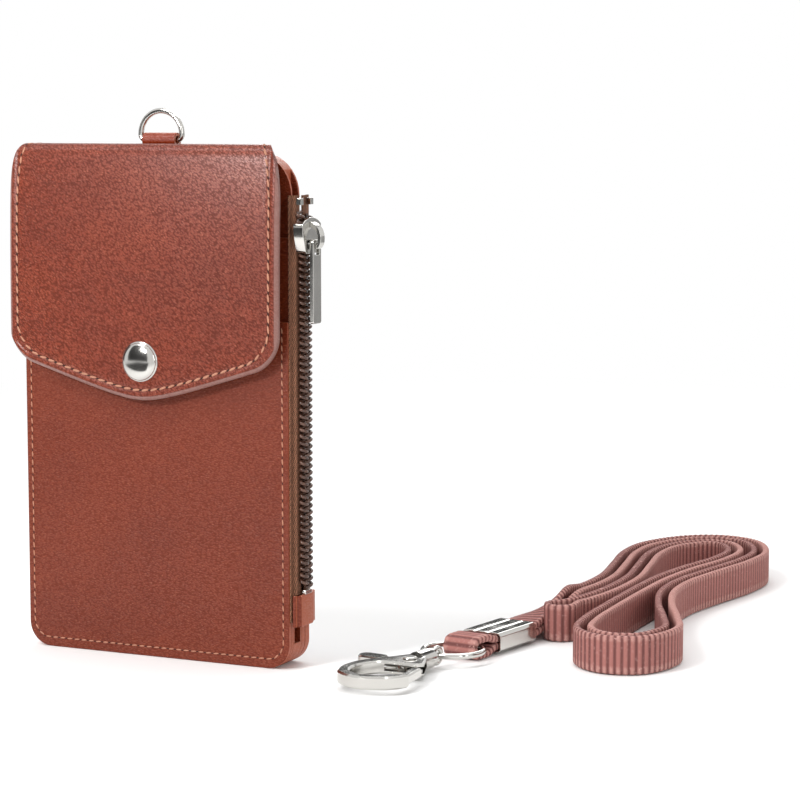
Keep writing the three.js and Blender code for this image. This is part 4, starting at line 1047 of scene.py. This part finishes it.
# Floor, lights and camera
view = {"target": (44.0, 42.0, 61.0), "azimuth": 25.0, "elevation": 6.5, "away": 640.0, "width": 203.0}
room = {"floor": (0.93, 0.93, 0.925), "fadeFrom": 0.16, "fadeTo": 0.62, "ambient": 0.44}


def floorFinish():
    r = Recipe("paleFloor")
    x, y = r.axis(r.place, "X") - 0.04, r.axis(r.place, "Y") - 0.05
    away = (x * x + y * y).maths("SQRT")
    r.set(Base_Color=r.mix(r.noise(30, 2) * 0.08, room["floor"], (0.90, 0.90, 0.895)), Roughness=0.85)
    white = r.tree.nodes.new("ShaderNodeEmission")
    white.inputs["Color"].default_value = (1, 1, 1, 1)
    blend = r.tree.nodes.new("ShaderNodeMixShader")
    r.feed(blend.inputs[0], r.range(away, room["fadeFrom"], room["fadeTo"]))
    r.tree.links.new(r.shader.outputs[0], blend.inputs[1])
    r.tree.links.new(white.outputs[0], blend.inputs[2])
    r.tree.links.new(blend.outputs[0], r.tree.nodes["Material Output"].inputs[0])
    return r.material


bpy.ops.mesh.primitive_circle_add(vertices=96, radius=3.0, fill_type="NGON", location=(0.03, 0.05, -0.0001))
floor = bpy.context.active_object
floor.name = "studioFloor"
bpy.ops.object.transform_apply(location=True, rotation=True, scale=True)
floor.data.materials.append(floorFinish())

world = bpy.data.worlds.new("studio")
bpy.context.scene.world = world
world.use_nodes = True
tree = world.node_tree
rays = tree.nodes.new("ShaderNodeLightPath")
seen = rays.outputs["Is Camera Ray"]
for kind in ("Is Glossy Ray", "Is Transmission Ray"):
    either = tree.nodes.new("ShaderNodeMath")
    either.operation = "MAXIMUM"
    tree.links.new(seen, either.inputs[0])
    tree.links.new(rays.outputs[kind], either.inputs[1])
    seen = either.outputs[0]
brightness = tree.nodes.new("ShaderNodeMapRange")
brightness.inputs[3].default_value = room["ambient"]
brightness.inputs[4].default_value = 1.0
tree.links.new(seen, brightness.inputs[0])
tree.links.new(brightness.outputs[0], tree.nodes["Background"].inputs["Strength"])
tree.nodes["Background"].inputs["Color"].default_value = (1, 1, 1, 1)

lamps = {  # place and aim in metres, watts, size
    "keyLamp": ((-0.42, -0.76, 1.20), (0.0, 0.0, 0.07), 8.2, 0.42),
    "sheenLamp": ((-0.070, -0.275, 0.192), (0.030, -0.010, 0.115), 0.62, 0.06),
    "sideLamp": ((0.95, -0.45, 0.40), (0.03, 0.0, 0.07), 3.0, 0.50),
    "topLamp": ((0.10, 0.30, 1.10), (0.04, 0.05, 0.0), 5.0, 0.80),
    "backLamp": ((-0.30, 1.10, 0.60), (0.0, 0.0, 0.06), 4.0, 0.60),
}
for name, (place, aim, power, size) in lamps.items():
    light = bpy.data.lights.new(name, "AREA")
    light.energy, light.size = power, size
    lamp = newPiece(name, light)
    lamp.location = place
    lamp.visible_camera = False
    lamp.rotation_euler = (Vector(aim) - Vector(place)).to_track_quat("-Z", "Y").to_euler()


def towards(azimuth, elevation):  # one metre that way, from the front and from level
    turn, rise = radians(azimuth), radians(elevation)
    return Vector((sin(turn) * cos(rise), -cos(turn) * cos(rise), sin(rise)))


# Dark panels that only the metal reflects
def flagPanel(name, place, aim, size, tone=0.02):
    bpy.ops.mesh.primitive_plane_add(size=1.0)
    panel = bpy.context.active_object
    panel.name = name
    turn = (Vector(aim) - Vector(place)).to_track_quat("Z", "Y").to_matrix().to_4x4()
    panel.data.transform(Matrix.Translation(place) @ turn @ Matrix.Diagonal((*size, 1, 1)))
    r = Recipe(name)
    r.set(Base_Color=r.mix(r.noise(4, 1), (tone * 0.6,) * 3, (tone * 1.4,) * 3), Roughness=0.9)
    panel.data.materials.append(r.material)
    panel.visible_camera = panel.visible_diffuse = panel.visible_shadow = panel.visible_transmission = False


flags = {  # azimuth, elevation, width and height, seen from the holder at one metre
    "flagFront": (-29, 15, 0.86, 0.78), "flagFarRight": (66, 12, 0.22, 0.90),
    "flagRight": (105, 10, 0.35, 0.60), "flagLeft": (-85, 10, 0.45, 0.70), "flagBack": (207, 9, 0.80, 0.16),
    "flagBackHigh": (165, 38, 0.40, 0.30), "flagBackLeft": (-130, 15, 0.20, 0.80),
}
for name, (turn, rise, wide, high) in flags.items():
    flagPanel(name, towards(turn, rise) + Vector((0, 0, 0.06)), (0.02, 0.02, 0.06), (wide, high))
flagPanel("flagFarBack", (0.20, 0.42, 0.065), (0.04, 0.0, 0.09), (0.16, 0.13), 0.34)  # seen in the puller
flagPanel("flagLowFront", (-0.20, -0.40, 0.002), (-0.20, -0.40, 1.0), (0.34, 0.46))  # lies in front

lens = bpy.data.cameras.new("camera")
camera = newPiece("camera", lens)
target = Vector(view["target"]) * mm
camera.location = target + towards(view["azimuth"], view["elevation"]) * view["away"] * mm
camera.rotation_euler = (target - camera.location).to_track_quat("-Z", "Y").to_euler()
lens.sensor_width = 36.0
lens.lens = 36.0 * view["away"] / view["width"]
lens.clip_start, lens.clip_end = 0.05, 20.0
bpy.context.scene.camera = camera
bpy.context.scene.view_settings.view_transform = "Standard"

print("stage and camera done")
